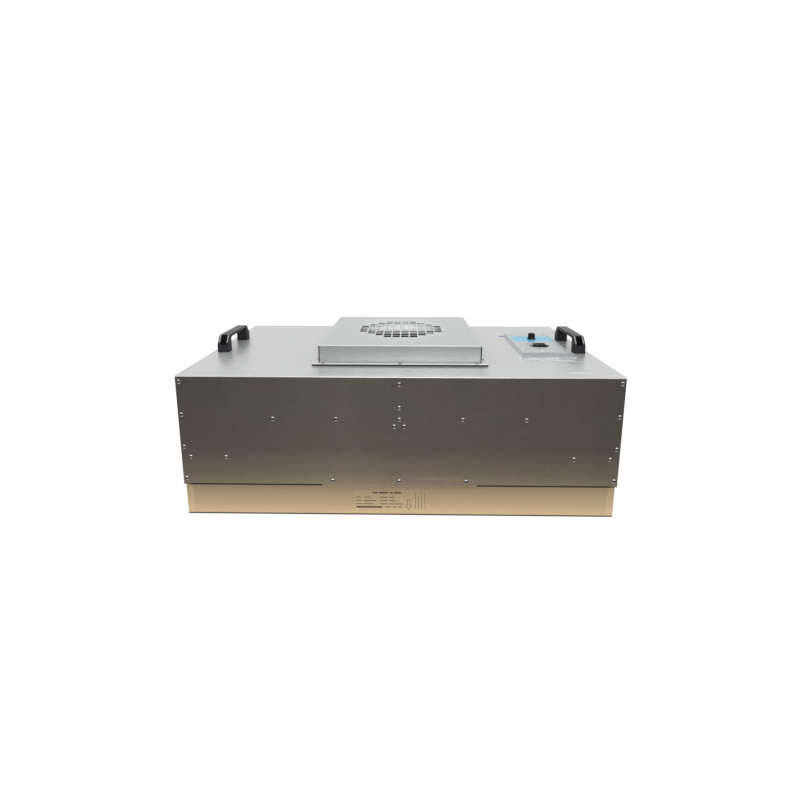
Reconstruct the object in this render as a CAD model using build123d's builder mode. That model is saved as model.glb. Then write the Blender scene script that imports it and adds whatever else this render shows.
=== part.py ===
from build123d import *
import os
from math import hypot, radians, cos, sin

os.makedirs("parts", exist_ok=True)

# A fan filter unit: a folded sheet casing with a fan under its top, and a deep pleated
# filter under its open bottom. X runs along the casing, Y to its back, and Z up. The
# origin is the middle of the underside. All sizes are in millimetres.

# --- Driving dimensions -------------------------------------------------------------

# Casing
casing_width = 975.0
casing_depth = 575.0
casing_height = 255.0
sheet = 1.2
bend_inside = 1.8
rim_width = 20.0
end_flange = 13.0
rim_gap = 0.5
tab_width = 348.0
tab_drop = 6.0
sill_height = 22.0

# Filter
filter_height = 69.0
filter_inset = 3.3
frame_band = 15.0
frame_wall = 1.5
gasket_thickness = 3.0
media_gap = 0.2
pleat_pitch = 12.0
pleat_sheet = 6.0
media_headroom = 4.0
guard_thickness = 1.2
guard_columns = 12
guard_rows = 7
guard_margin = 8.0
guard_strand = 6.0

# Play round what sits in a hole
hole_gap = 0.15

# Fan
throat_radius = 106.0
bell_margin = 40.0
bell_drop = 24.0
throat_length = 6.0
bell_flange = 16.0
eye_gap = 4.0
eye_overlap = 4.0
impeller_radius = 160.0
impeller_sheet = 1.5
outlet_height = 45.0
shroud_rise = 19.5
blade_count = 7
blade_sweep = 38.0
blade_camber = 9.0
blade_thickness = 4.0
rotor_radius = 51.0
rotor_wall = 3.0
rotor_height = 55.0
rotor_collar = 9.0
collar_thickness = 3.0
collar_height = 2.0
stator_base_height = 6.0
rotor_gap = 3.0
air_gap = 1.5
stator_tube_wall = 4.0
shaft_radius = 4.0
running_gap = 0.05
bearing_radius = 11.0
bearing_height = 7.0
axial_gap = 0.25

# Motor plate and what stiffens it
plate_width = 581.0
plate_flange = 22.0
strut_width = 40.0
strut_leg = 18.0
gusset_width = 44.0
gusset_height = 18.0
gusset_reach = 40.0

# Air deflectors above the two ends of the filter
deflector_width = 96.0
deflector_flange = 23.0
deflector_height = 78.0

# Intake cowl
cowl_side = 384.0
cowl_height = 44.5
cowl_flange = 14.0
cowl_seam = 2.4
cowl_gasket_width = 11.0
grille_pitch = 22.0
grille_bar = 3.0
grille_radius = 106.5
grille_offset = 4.0

# Carrying handles
handle_length = 170.0
handle_width = 28.0
handle_height = 42.5
handle_bar = 6.5
handle_foot = 25.5
handle_block = 19.5
handle_slope = 18.5
handle_inset = 27.5
handle_offset = 6.8
handle_arch = 6.5
handle_bevel = 2.0
pocket_width = 15.5
pocket_floor = 7.0
pocket_wall = 2.5
bolt_shank_radius = 2.5
bolt_head_radius = 4.2
bolt_head_height = 5.0
nut_thickness = 4.0

# Control box
lid_width = 120.0
lid_depth = 231.0
lid_height = 8.0
lid_gap = 16.0
lid_offset = 17.5
tray_margin_x = 18.0
tray_margin_y = 23.5
tray_height = 55.0
tray_lip_gap = 0.5
dial_offset = 40.5
dial_radius = 11.0
dial_height = 16.7
dial_taper = 1.2
dial_skirt = 3.0
dial_lift = 0.4
bush_radius = 4.8
bush_height = 5.0
stem_radius = 3.0
controller_width = 30.0
controller_depth = 26.0
controller_height = 20.0
controller_nut_height = 2.0
socket_offset = -46.5
socket_width = 30.0
socket_depth = 23.5
socket_rise = 5.9
socket_flange = 2.6
socket_sink = 22.0
socket_wall = 2.2
socket_bore_depth = 17.0
socket_ear_pitch = 40.0
socket_ear_radius = 5.0
pin_width = 4.0
pin_thickness = 2.0
pin_pitch = 7.0
pin_stagger = 2.0
pin_below_rim = 2.0
capacitor_radius = 15.0
capacitor_length = 58.0
terminal_width = 60.0
terminal_depth = 18.0
terminal_height = 16.0
terminal_ways = 5

# --- Levels and places worked out from them -----------------------------------------

half_width = casing_width / 2
half_depth = casing_depth / 2
wall_inside = half_depth - sheet
bend_outside = bend_inside + sheet

filter_bottom = gasket_thickness
filter_top = filter_bottom + filter_height
casing_bottom = filter_top + gasket_thickness
casing_top = casing_bottom + casing_height
ceiling = casing_top - sheet
casing_middle = (casing_bottom + casing_top) / 2

frame_half_width = half_width - filter_inset
frame_half_depth = half_depth - filter_inset

bell_radius = cowl_side / 2 - bell_margin
throat_bottom = ceiling - bell_drop - throat_length
eye_top = throat_bottom + eye_overlap
eye_radius = throat_radius + sheet + eye_gap
shroud_bottom = eye_top - shroud_rise
hub_top = shroud_bottom - outlet_height
hub_bottom = hub_top - impeller_sheet
collar_bottom = hub_bottom - collar_thickness
rotor_bottom = collar_bottom - collar_height
rotor_top = rotor_bottom + rotor_height
stator_bottom = rotor_bottom - rotor_gap - stator_base_height
plate_bottom = stator_bottom - sheet
plate_half_width = plate_width / 2
plate_flange_top = plate_bottom + plate_flange

handle_x = half_width - handle_inset
lid_top = casing_top + lid_height
lid_x = handle_x - handle_width / 2 - lid_gap - lid_width / 2
tray_half_width = lid_width / 2 - tray_margin_x
tray_half_depth = lid_depth / 2 - tray_margin_y
tray_floor = casing_top - tray_height
dial_y = lid_offset + dial_offset
socket_y = lid_offset + socket_offset

cowl_half = cowl_side / 2
cowl_bottom = casing_top + gasket_thickness
cowl_top = cowl_bottom + cowl_height

bolt_hole_radius = bolt_shank_radius + hole_gap
deflector_outside = half_width - end_flange - rim_gap
deflector_inside = deflector_outside - deflector_width
deflector_top = casing_bottom + deflector_height
handle_bolt_reach = handle_length / 2 - pocket_wall - bolt_head_radius - 1.0
handle_points = [
    (side * handle_x, handle_offset + end * handle_bolt_reach)
    for side in (-1, 1)
    for end in (-1, 1)
]


def save(part, name):
    """Labels a finished piece and writes it as its own STEP file."""
    part.label = name
    export_step(part, f"parts/{name}.step")


# --- Casing -------------------------------------------------------------------------

# One sheet is folded over the top, down both long walls and in under their feet.
end_zone = end_flange + rim_gap
with BuildPart() as casing_shell:
    with BuildSketch(Plane.YZ):
        with Locations((0, casing_middle)):
            RectangleRounded(casing_depth, casing_height, bend_outside)
            RectangleRounded(
                casing_depth - 2 * sheet,
                casing_height - 2 * sheet,
                bend_inside,
                mode=Mode.SUBTRACT,
            )
        with Locations((0, casing_bottom)):
            Rectangle(casing_depth - 2 * rim_width, 2 * bend_outside, mode=Mode.SUBTRACT)
    extrude(amount=half_width, both=True)
    # The rims stop short of the end panels and of the middle tab.
    with BuildSketch(Plane.XY.offset(casing_bottom)):
        Rectangle(tab_width, casing_depth)
        with Locations((-half_width, 0), (half_width, 0)):
            Rectangle(2 * end_zone, casing_depth)
    extrude(amount=bend_outside, mode=Mode.SUBTRACT)
    for side in (-1, 1):
        wall_y = side * (casing_depth - sheet) / 2
        with Locations((0, wall_y, casing_bottom - tab_drop)):
            Box(
                tab_width,
                sheet,
                tab_drop + bend_outside,
                align=(Align.CENTER, Align.CENTER, Align.MIN),
            )
        for end in (-1, 1):
            with Locations((end * (half_width - end_zone / 2), wall_y, casing_bottom)):
                Box(
                    end_zone,
                    sheet,
                    bend_outside,
                    align=(Align.CENTER, Align.CENTER, Align.MIN),
                )
    # Fan inlet, control box cut-out and handle bolt holes in the top.
    with BuildSketch(Plane.XY.offset(casing_top)):
        Circle(bell_radius)
        with Locations((lid_x, lid_offset)):
            Rectangle(2 * (tray_half_width + rim_gap), 2 * (tray_half_depth + rim_gap))
        with Locations(*handle_points):
            Circle(bolt_hole_radius)
    extrude(amount=-sheet, mode=Mode.SUBTRACT)
save(casing_shell.part, "casing_shell")

# Each end is closed by a tray-shaped panel, its flanges turned in behind the long walls.
for side, name in ((-1, "end_panel_left"), (1, "end_panel_right")):
    with BuildPart() as end_panel:
        with Locations((side * (half_width - end_flange / 2), 0, casing_bottom)):
            Box(
                end_flange,
                2 * wall_inside,
                casing_height - sheet,
                align=(Align.CENTER, Align.CENTER, Align.MIN),
            )
        fillet(end_panel.edges().filter_by(Axis.X), bend_outside)
        open_face = end_panel.faces().sort_by(Axis.X)[0 if side > 0 else -1]
        offset(amount=-sheet, openings=open_face)
    save(end_panel.part, name)

# Angles behind the middle tabs close the gap in the sealing rim.
for side, name in ((-1, "sill_front"), (1, "sill_back")):
    with BuildPart() as sill:
        with BuildSketch(Plane.YZ):
            with Locations((side * wall_inside, casing_bottom)):
                Rectangle(
                    rim_width - sheet,
                    sill_height,
                    align=(Align.MAX if side > 0 else Align.MIN, Align.MIN),
                )
            with Locations((side * (wall_inside - sheet), casing_bottom + sheet)):
                Rectangle(
                    rim_width,
                    sill_height,
                    align=(Align.MAX if side > 0 else Align.MIN, Align.MIN),
                    mode=Mode.SUBTRACT,
                )
        extrude(amount=tab_width / 2 - rim_gap, both=True)
    save(sill.part, name)

# --- Motor plate and its supports ---------------------------------------------------

with BuildPart() as motor_plate:
    with BuildSketch(Plane.YZ):
        with Locations((0, plate_bottom + plate_flange)):
            RectangleRounded(2 * wall_inside, 2 * plate_flange, bend_outside)
            RectangleRounded(
                2 * (wall_inside - sheet),
                2 * (plate_flange - sheet),
                bend_inside,
                mode=Mode.SUBTRACT,
            )
            Rectangle(
                2 * wall_inside,
                2 * plate_flange,
                align=(Align.CENTER, Align.MIN),
                mode=Mode.SUBTRACT,
            )
    extrude(amount=plate_half_width, both=True)
save(motor_plate.part, "motor_plate")

strut_top = ceiling - bend_inside
for side, name in ((-1, "strut_front"), (1, "strut_back")):
    with BuildPart() as strut:
        with BuildSketch(Plane.XY.offset(plate_flange_top)):
            with Locations((0, side * (wall_inside - strut_leg / 2))):
                Rectangle(strut_width, strut_leg)
            with Locations((0, side * (wall_inside - sheet - strut_leg / 2))):
                Rectangle(strut_width - 2 * sheet, strut_leg, mode=Mode.SUBTRACT)
        extrude(amount=strut_top - plate_flange_top)
    save(strut.part, name)

for side, name in ((-1, "gusset_front"), (1, "gusset_back")):
    with BuildPart() as gusset:
        with BuildSketch(Plane.YZ):
            with Locations((side * wall_inside, plate_bottom)):
                Rectangle(
                    gusset_reach,
                    gusset_height,
                    align=(Align.MAX if side > 0 else Align.MIN, Align.MAX),
                )
            with Locations((side * (wall_inside - sheet), plate_bottom - sheet)):
                Rectangle(
                    gusset_reach,
                    gusset_height,
                    align=(Align.MAX if side > 0 else Align.MIN, Align.MAX),
                    mode=Mode.SUBTRACT,
                )
        extrude(amount=gusset_width / 2, both=True)
    save(gusset.part, name)

for side, name in ((-1, "deflector_left"), (1, "deflector_right")):
    middle_x = side * (deflector_inside + deflector_outside) / 2
    with BuildPart() as deflector:
        with BuildSketch(Plane.YZ.offset(middle_x)):
            with Locations((0, deflector_top - deflector_flange)):
                RectangleRounded(2 * wall_inside, 2 * deflector_flange, bend_outside)
                RectangleRounded(
                    2 * (wall_inside - sheet),
                    2 * (deflector_flange - sheet),
                    bend_inside,
                    mode=Mode.SUBTRACT,
                )
                Rectangle(
                    2 * wall_inside,
                    2 * deflector_flange,
                    align=(Align.CENTER, Align.MAX),
                    mode=Mode.SUBTRACT,
                )
        extrude(amount=deflector_width / 2, both=True)
    save(deflector.part, name)

# --- Fan ----------------------------------------------------------------------------

# Inlet ring: a bell mouth that turns the air down into the impeller's eye.
bell_curve_z = ceiling - bell_drop
with BuildPart() as inlet_ring:
    with BuildSketch(Plane.XZ):
        with BuildLine():
            EllipticalCenterArc(
                (bell_radius, bell_curve_z),
                bell_radius - throat_radius,
                bell_drop,
                start_angle=90,
                arc_size=90,
            )
            Polyline(
                (throat_radius, bell_curve_z),
                (throat_radius, throat_bottom),
                (throat_radius + sheet, throat_bottom),
                (throat_radius + sheet, bell_curve_z),
            )
            EllipticalCenterArc(
                (bell_radius, bell_curve_z),
                bell_radius - throat_radius - sheet,
                bell_drop - sheet,
                start_angle=90,
                arc_size=90,
            )
            Polyline(
                (bell_radius, ceiling - sheet),
                (bell_radius + bell_flange, ceiling - sheet),
                (bell_radius + bell_flange, ceiling),
                (bell_radius, ceiling),
            )
        make_face()
    revolve(axis=Axis.Z)
save(inlet_ring.part, "inlet_ring")

# One backward-curved blade in plan, a thin lens from the eye to the rim.
blade_root = eye_radius + impeller_sheet
blade_tip = impeller_radius - impeller_sheet
blade_middle = (blade_root + blade_tip) / 2
tip_angle = radians(-blade_sweep)
middle_angle = radians(-blade_sweep / 2)
root_point = (blade_root, 0)
tip_point = (blade_tip * cos(tip_angle), blade_tip * sin(tip_angle))
with BuildSketch() as blade_plan:
    with BuildLine():
        ThreePointArc(
            root_point,
            (
                (blade_middle + blade_camber) * cos(middle_angle),
                (blade_middle + blade_camber) * sin(middle_angle),
            ),
            tip_point,
        )
        ThreePointArc(
            root_point,
            (
                (blade_middle + blade_camber - blade_thickness) * cos(middle_angle),
                (blade_middle + blade_camber - blade_thickness) * sin(middle_angle),
            ),
            tip_point,
        )
    make_face()

# The impeller is one welded piece: hub plate, blades and a curved shroud.
half_sheet = impeller_sheet / 2
with BuildPart() as impeller:
    with BuildSketch(Plane.XY.offset(hub_bottom + half_sheet)):
        with PolarLocations(0, blade_count):
            add(blade_plan.sketch)
    extrude(amount=eye_top - hub_bottom)
    with BuildSketch(Plane.XZ):
        with BuildLine():
            Polyline(
                (eye_radius + half_sheet, eye_top),
                (eye_radius + half_sheet, hub_bottom + half_sheet),
                (impeller_radius, hub_bottom + half_sheet),
                (impeller_radius, shroud_bottom + half_sheet),
            )
            EllipticalCenterArc(
                (impeller_radius, eye_top),
                impeller_radius - eye_radius - half_sheet,
                shroud_rise - half_sheet,
                start_angle=180,
                arc_size=90,
            )
        make_face()
    revolve(axis=Axis.Z, mode=Mode.INTERSECT)
    with BuildSketch(Plane.XZ):
        with BuildLine():
            EllipticalCenterArc(
                (impeller_radius, eye_top),
                impeller_radius - eye_radius,
                shroud_rise,
                start_angle=180,
                arc_size=90,
            )
            Line((impeller_radius, shroud_bottom), (impeller_radius, shroud_bottom + impeller_sheet))
            EllipticalCenterArc(
                (impeller_radius, eye_top),
                impeller_radius - eye_radius - impeller_sheet,
                shroud_rise - impeller_sheet,
                start_angle=180,
                arc_size=90,
            )
            Line((eye_radius + impeller_sheet, eye_top), (eye_radius, eye_top))
        make_face()
    revolve(axis=Axis.Z)
    with BuildSketch(Plane.XY.offset(hub_bottom)):
        Circle(impeller_radius)
        Circle(rotor_radius + hole_gap, mode=Mode.SUBTRACT)
    extrude(amount=impeller_sheet)
save(impeller.part, "impeller")

# External rotor motor. The bell turns round the stator and carries the impeller.
upper_bearing_top = rotor_top - rotor_wall - axial_gap - 4.0
with BuildPart() as motor_rotor:
    with BuildSketch(Plane.XZ):
        with BuildLine():
            Polyline(
                (shaft_radius, rotor_top),
                (rotor_radius - rotor_wall / 2, rotor_top),
                (rotor_radius, rotor_top - rotor_wall / 2),
                (rotor_radius, hub_bottom),
                (rotor_radius + rotor_collar, hub_bottom),
                (rotor_radius + rotor_collar, collar_bottom),
                (rotor_radius, collar_bottom),
                (rotor_radius, rotor_bottom),
                (rotor_radius - rotor_wall, rotor_bottom),
                (rotor_radius - rotor_wall, rotor_top - rotor_wall),
                (shaft_radius + 3.0, rotor_top - rotor_wall),
                (shaft_radius + 3.0, upper_bearing_top + axial_gap),
                (shaft_radius, upper_bearing_top + axial_gap),
                close=True,
            )
        make_face()
    revolve(axis=Axis.Z)
save(motor_rotor.part, "motor_rotor")

lower_bearing_bottom = stator_bottom + 2.0
with BuildPart() as motor_shaft:
    with BuildSketch(Plane.XY.offset(stator_bottom + 1.0)):
        Circle(shaft_radius)
    extrude(amount=rotor_top - stator_bottom - 1.0)
save(motor_shaft.part, "motor_shaft")

for bottom, name in (
    (lower_bearing_bottom, "bearing_lower"),
    (upper_bearing_top - bearing_height, "bearing_upper"),
):
    with BuildPart() as bearing:
        with BuildSketch(Plane.XY.offset(bottom)):
            Circle(bearing_radius)
            Circle(shaft_radius + running_gap, mode=Mode.SUBTRACT)
        extrude(amount=bearing_height)
    save(bearing.part, name)

stator_base_radius = rotor_radius - rotor_wall - air_gap
stator_tube_radius = bearing_radius + stator_tube_wall
base_top = stator_bottom + stator_base_height
with BuildPart() as motor_stator:
    with BuildSketch(Plane.XZ):
        with BuildLine():
            Polyline(
                (bearing_radius, stator_bottom),
                (stator_base_radius, stator_bottom),
                (stator_base_radius, base_top),
                (stator_tube_radius, base_top),
                (stator_tube_radius, upper_bearing_top),
                (bearing_radius, upper_bearing_top),
                (bearing_radius, upper_bearing_top - bearing_height),
                (bearing_radius - 2.0, upper_bearing_top - bearing_height),
                (bearing_radius - 2.0, lower_bearing_bottom + bearing_height),
                (bearing_radius, lower_bearing_bottom + bearing_height),
                close=True,
            )
        make_face()
    revolve(axis=Axis.Z)
save(motor_stator.part, "motor_stator")

with BuildPart() as stator_core:
    with BuildSketch(Plane.XY.offset(base_top)):
        Circle(stator_base_radius)
        Circle(stator_tube_radius, mode=Mode.SUBTRACT)
        with PolarLocations(stator_base_radius, 12):
            Rectangle(stator_base_radius / 3, 3.0, mode=Mode.SUBTRACT)
    extrude(amount=upper_bearing_top - base_top - bearing_height)
save(stator_core.part, "stator_core")

# --- Intake cowl --------------------------------------------------------------------

half_cells = int(grille_radius / grille_pitch)
cell_places = [(place + 0.5) * grille_pitch for place in range(-half_cells - 1, half_cells + 1)]
grille_cells = [
    (x, y + grille_offset)
    for x in cell_places
    for y in cell_places
    if hypot(x, y) < grille_radius
]
cell_side = grille_pitch - grille_bar
with BuildPart() as intake_cowl:
    with Locations((0, 0, cowl_bottom)):
        Box(cowl_side, cowl_side, cowl_height, align=(Align.CENTER, Align.CENTER, Align.MIN))
    fillet(intake_cowl.edges().group_by(Axis.Z)[-1], bend_outside)
    offset(amount=-sheet, openings=intake_cowl.faces().sort_by(Axis.Z)[0])
    with BuildSketch(Plane.XY.offset(cowl_bottom)):
        Rectangle(cowl_side + 2 * cowl_flange, cowl_side + 2 * cowl_flange)
        Rectangle(cowl_side - 2 * sheet, cowl_side - 2 * sheet, mode=Mode.SUBTRACT)
    extrude(amount=sheet)
    # The walls are folded down one by one and leave an open seam at each corner.
    seam_x = cowl_half - sheet - cowl_seam / 2
    with BuildSketch(Plane.XZ):
        with Locations((-seam_x, cowl_bottom + 2 * sheet), (seam_x, cowl_bottom + 2 * sheet)):
            Rectangle(
                cowl_seam,
                cowl_height - 2 * sheet - bend_outside,
                align=(Align.CENTER, Align.MIN),
            )
    extrude(amount=cowl_side, both=True, mode=Mode.SUBTRACT)
    with BuildSketch(Plane.XY.offset(cowl_top)):
        with Locations(*grille_cells):
            Rectangle(cell_side, cell_side)
    extrude(amount=-sheet, mode=Mode.SUBTRACT)
save(intake_cowl.part, "intake_cowl")

# Foam strips under the cowl's flange, butted at the corners.
strip_line = cowl_half + cowl_flange / 2
strip_long = 2 * strip_line + cowl_gasket_width
strip_short = 2 * strip_line - cowl_gasket_width
with BuildPart() as cowl_gasket:
    with BuildSketch(Plane.XY.offset(casing_top)):
        with Locations((0, -strip_line), (0, strip_line)):
            Rectangle(strip_long, cowl_gasket_width)
    extrude(amount=gasket_thickness)
    with BuildSketch(Plane.XY.offset(casing_top)):
        with Locations((-strip_line, 0), (strip_line, 0)):
            Rectangle(cowl_gasket_width, strip_short - rim_gap)
    extrude(amount=gasket_thickness)
save(cowl_gasket.part, "cowl_gasket")

# --- Handles ------------------------------------------------------------------------

handle_half = handle_length / 2
handle_outline = [
    (-handle_half, 0),
    (-handle_half, handle_block),
    (-handle_half + handle_slope, handle_height),
    (handle_half - handle_slope, handle_height),
    (handle_half, handle_block),
    (handle_half, 0),
]
arch_half = handle_half - handle_foot
for side, name in ((-1, "handle_left"), (1, "handle_right")):
    with BuildPart() as handle:
        with BuildSketch(Plane.YZ.offset(side * handle_x)):
            with Locations((handle_offset, casing_top)):
                Polygon(*handle_outline, align=None)
                with Locations((0, (handle_height - handle_bar) / 2 - handle_arch)):
                    RectangleRounded(
                        2 * arch_half,
                        handle_height - handle_bar + 2 * handle_arch,
                        handle_arch,
                        mode=Mode.SUBTRACT,
                    )
        extrude(amount=handle_width / 2, both=True)
        top_edges = handle.edges().filter_by(Axis.Y).group_by(Axis.Z)[-1]
        chamfer(top_edges, handle_bevel)
        # A pocket in each sloping end takes the bolt down to the foot.
        for end in (-1, 1):
            pocket_y = handle_offset + end * (handle_half - pocket_wall)
            with BuildSketch(Plane.XY.offset(casing_top + pocket_floor)):
                with Locations((side * handle_x, pocket_y)):
                    Rectangle(
                        pocket_width,
                        handle_slope - pocket_wall,
                        align=(Align.CENTER, Align.MAX if end > 0 else Align.MIN),
                    )
            extrude(amount=handle_height, mode=Mode.SUBTRACT)
        with BuildSketch(Plane.XY.offset(casing_top)):
            with Locations(*handle_points):
                Circle(bolt_hole_radius)
        extrude(amount=pocket_floor, mode=Mode.SUBTRACT)
    save(handle.part, name)

# --- Control box --------------------------------------------------------------------

with BuildPart() as control_tray:
    with Locations((lid_x, lid_offset, tray_floor)):
        Box(
            2 * tray_half_width,
            2 * tray_half_depth,
            tray_height,
            align=(Align.CENTER, Align.CENTER, Align.MIN),
        )
    offset(amount=-sheet, openings=control_tray.faces().sort_by(Axis.Z)[-1])
    with BuildSketch(Plane.XY.offset(casing_top)):
        with Locations((lid_x, lid_offset)):
            Rectangle(
                lid_width - 2 * (sheet + tray_lip_gap),
                lid_depth - 2 * (sheet + tray_lip_gap),
            )
            Rectangle(
                2 * (tray_half_width - sheet),
                2 * (tray_half_depth - sheet),
                mode=Mode.SUBTRACT,
            )
    extrude(amount=sheet)
save(control_tray.part, "control_tray")

with BuildPart() as control_lid:
    with Locations((lid_x, lid_offset, casing_top)):
        Box(lid_width, lid_depth, lid_height, align=(Align.CENTER, Align.CENTER, Align.MIN))
    chamfer(control_lid.edges().group_by(Axis.Z)[-1], sheet / 2)
    offset(amount=-sheet, openings=control_lid.faces().sort_by(Axis.Z)[0])
    with BuildSketch(Plane.XY.offset(lid_top)):
        with Locations((lid_x, dial_y)):
            Circle(bush_radius + hole_gap)
        with Locations((lid_x, socket_y)):
            Rectangle(
                socket_width - 2 * socket_wall + 2 * hole_gap,
                socket_depth - 2 * socket_wall + 2 * hole_gap,
            )
    extrude(amount=-sheet, mode=Mode.SUBTRACT)
save(control_lid.part, "control_lid")

# Speed controller: body under the lid, threaded bush up through it, nut on top.
lid_underside = lid_top - sheet
with BuildPart() as speed_controller:
    with Locations((lid_x, dial_y, lid_underside)):
        Box(
            controller_width,
            controller_depth,
            controller_height,
            align=(Align.CENTER, Align.CENTER, Align.MAX),
        )
    with BuildSketch(Plane.XY.offset(lid_underside)):
        with Locations((lid_x, dial_y)):
            Circle(bush_radius)
    extrude(amount=sheet + bush_height)
    with BuildSketch(Plane.XY.offset(lid_top + bush_height)):
        with Locations((lid_x, dial_y)):
            Circle(stem_radius + running_gap)
    extrude(amount=-(bush_height + sheet + controller_height / 2), mode=Mode.SUBTRACT)
save(speed_controller.part, "speed_controller")

with BuildPart() as controller_nut:
    with BuildSketch(Plane.XY.offset(lid_top)):
        with Locations((lid_x, dial_y)):
            RegularPolygon(bush_radius + 1.8, 6)
            Circle(bush_radius, mode=Mode.SUBTRACT)
    extrude(amount=controller_nut_height)
save(controller_nut.part, "controller_nut")

dial_bottom = lid_top + dial_lift
dial_top = dial_bottom + dial_height
dial_ceiling = lid_top + bush_height + dial_lift
stem_bottom = lid_underside - controller_height / 2 + dial_lift
with BuildPart() as controller_stem:
    with BuildSketch(Plane.XY.offset(stem_bottom)):
        with Locations((lid_x, dial_y)):
            Circle(stem_radius)
    extrude(amount=dial_top - dial_taper * 2 - stem_bottom)
save(controller_stem.part, "controller_stem")

dial_grip = dial_radius - dial_taper
with BuildPart() as speed_dial:
    with BuildSketch(Plane.XZ.offset(-dial_y)):
        with Locations((lid_x, 0)):
            Polygon(
                (0, dial_top),
                (dial_grip - dial_taper, dial_top),
                (dial_grip, dial_top - dial_taper),
                (dial_grip, dial_bottom + dial_skirt),
                (dial_radius, dial_bottom + dial_skirt / 2),
                (dial_radius, dial_bottom),
                (bush_radius + 3.0, dial_bottom),
                (bush_radius + 3.0, dial_ceiling),
                (0, dial_ceiling),
                align=None,
            )
    revolve(axis=Axis((lid_x, dial_y, 0), (0, 0, 1)))
    with BuildSketch(Plane.XY.offset(dial_ceiling)):
        with Locations((lid_x, dial_y)):
            Circle(stem_radius)
    extrude(amount=dial_top - dial_taper * 2 - dial_ceiling, mode=Mode.SUBTRACT)
    # A pointer line is cut across the top, towards the low end of the scale.
    with BuildSketch(Plane.XY.offset(dial_top)):
        with Locations((lid_x, dial_y)):
            Rectangle(1.4, dial_grip, align=(Align.CENTER, Align.MAX))
    extrude(amount=-dial_taper / 2, mode=Mode.SUBTRACT)
save(speed_dial.part, "speed_dial")

# Appliance inlet: a flange with two ears, a raised rim and three flat pins.
socket_hollow_width = socket_width - 2 * (socket_wall + socket_wall / 2)
socket_hollow_depth = socket_depth - 2 * (socket_wall + socket_wall / 2)
socket_floor = lid_top + socket_rise - socket_bore_depth
with BuildPart() as power_inlet:
    with BuildSketch(Plane.XY.offset(lid_top)):
        with Locations((lid_x, socket_y)):
            Rectangle(socket_width, socket_depth)
            with Locations((-socket_ear_pitch / 2, 0), (socket_ear_pitch / 2, 0)):
                Circle(socket_ear_radius)
            make_hull()
    extrude(amount=socket_flange)
    with Locations((lid_x, socket_y, lid_top)):
        Box(
            socket_width,
            socket_depth,
            socket_rise,
            align=(Align.CENTER, Align.CENTER, Align.MIN),
        )
    with Locations((lid_x, socket_y, lid_top)):
        Box(
            socket_width - 2 * socket_wall,
            socket_depth - 2 * socket_wall,
            socket_sink,
            align=(Align.CENTER, Align.CENTER, Align.MAX),
        )
    with BuildSketch(Plane.XY.offset(lid_top + socket_rise)):
        with Locations((lid_x, socket_y)):
            half_hollow = socket_hollow_width / 2
            hollow_front = -socket_hollow_depth / 2
            hollow_back = socket_hollow_depth / 2
            hollow_cut = socket_hollow_depth / 4
            Polygon(
                (-half_hollow, hollow_back),
                (half_hollow, hollow_back),
                (half_hollow, hollow_front + hollow_cut),
                (half_hollow - hollow_cut, hollow_front),
                (-half_hollow + hollow_cut, hollow_front),
                (-half_hollow, hollow_front + hollow_cut),
                align=None,
            )
    extrude(amount=-socket_bore_depth, mode=Mode.SUBTRACT)
save(power_inlet.part, "power_inlet")

with BuildPart() as inlet_pins:
    with BuildSketch(Plane.XY.offset(socket_floor)):
        with Locations((lid_x, socket_y)):
            with Locations((-pin_pitch, pin_stagger), (pin_pitch, pin_stagger), (0, -pin_stagger)):
                Rectangle(pin_thickness, pin_width)
    extrude(amount=socket_bore_depth - pin_below_rim)
save(inlet_pins.part, "inlet_pins")

tray_inside_floor = tray_floor + sheet
with BuildPart() as run_capacitor:
    capacitor_y = lid_offset + tray_half_depth / 2
    with BuildSketch(Plane.XZ.offset(-capacitor_y)):
        with Locations((lid_x, tray_inside_floor + capacitor_radius)):
            Circle(capacitor_radius)
    extrude(amount=capacitor_length / 2, both=True)
    chamfer(run_capacitor.edges().filter_by(GeomType.CIRCLE), capacitor_radius / 10)
save(run_capacitor.part, "run_capacitor")

with BuildPart() as terminal_block:
    terminal_y = lid_offset - tray_half_depth / 2
    with Locations((lid_x, terminal_y, tray_inside_floor)):
        Box(
            terminal_width,
            terminal_depth,
            terminal_height,
            align=(Align.CENTER, Align.CENTER, Align.MIN),
        )
    with BuildSketch(Plane.XY.offset(tray_inside_floor + terminal_height)):
        with Locations((lid_x, terminal_y)):
            with GridLocations(terminal_width / terminal_ways, terminal_depth / 2, terminal_ways, 2):
                Rectangle(terminal_width / terminal_ways / 2, terminal_depth / 4)
    extrude(amount=-terminal_height / 3, mode=Mode.SUBTRACT)
save(terminal_block.part, "terminal_block")

# --- Filter -------------------------------------------------------------------------

# End members run the full depth and are closed at their ends. They are open inwards.
for side, name in ((-1, "filter_frame_left"), (1, "filter_frame_right")):
    with BuildPart() as frame_end:
        with Locations((side * (frame_half_width - frame_band / 2), 0, filter_bottom)):
            Box(
                frame_band,
                2 * frame_half_depth,
                filter_height,
                align=(Align.CENTER, Align.CENTER, Align.MIN),
            )
        open_face = frame_end.faces().sort_by(Axis.X)[0 if side > 0 else -1]
        offset(amount=-frame_wall, openings=open_face)
    save(frame_end.part, name)

# Long members are channels between them.
for side, name in ((-1, "filter_frame_front"), (1, "filter_frame_back")):
    with BuildPart() as frame_long:
        with BuildSketch(Plane.YZ):
            with Locations((side * frame_half_depth, filter_bottom)):
                Rectangle(
                    frame_band,
                    filter_height,
                    align=(Align.MAX if side > 0 else Align.MIN, Align.MIN),
                )
            with Locations((side * (frame_half_depth - frame_wall), filter_bottom + frame_wall)):
                Rectangle(
                    frame_band,
                    filter_height - 2 * frame_wall,
                    align=(Align.MAX if side > 0 else Align.MIN, Align.MIN),
                    mode=Mode.SUBTRACT,
                )
        extrude(amount=frame_half_width - frame_band, both=True)
    save(frame_long.part, name)

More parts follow.
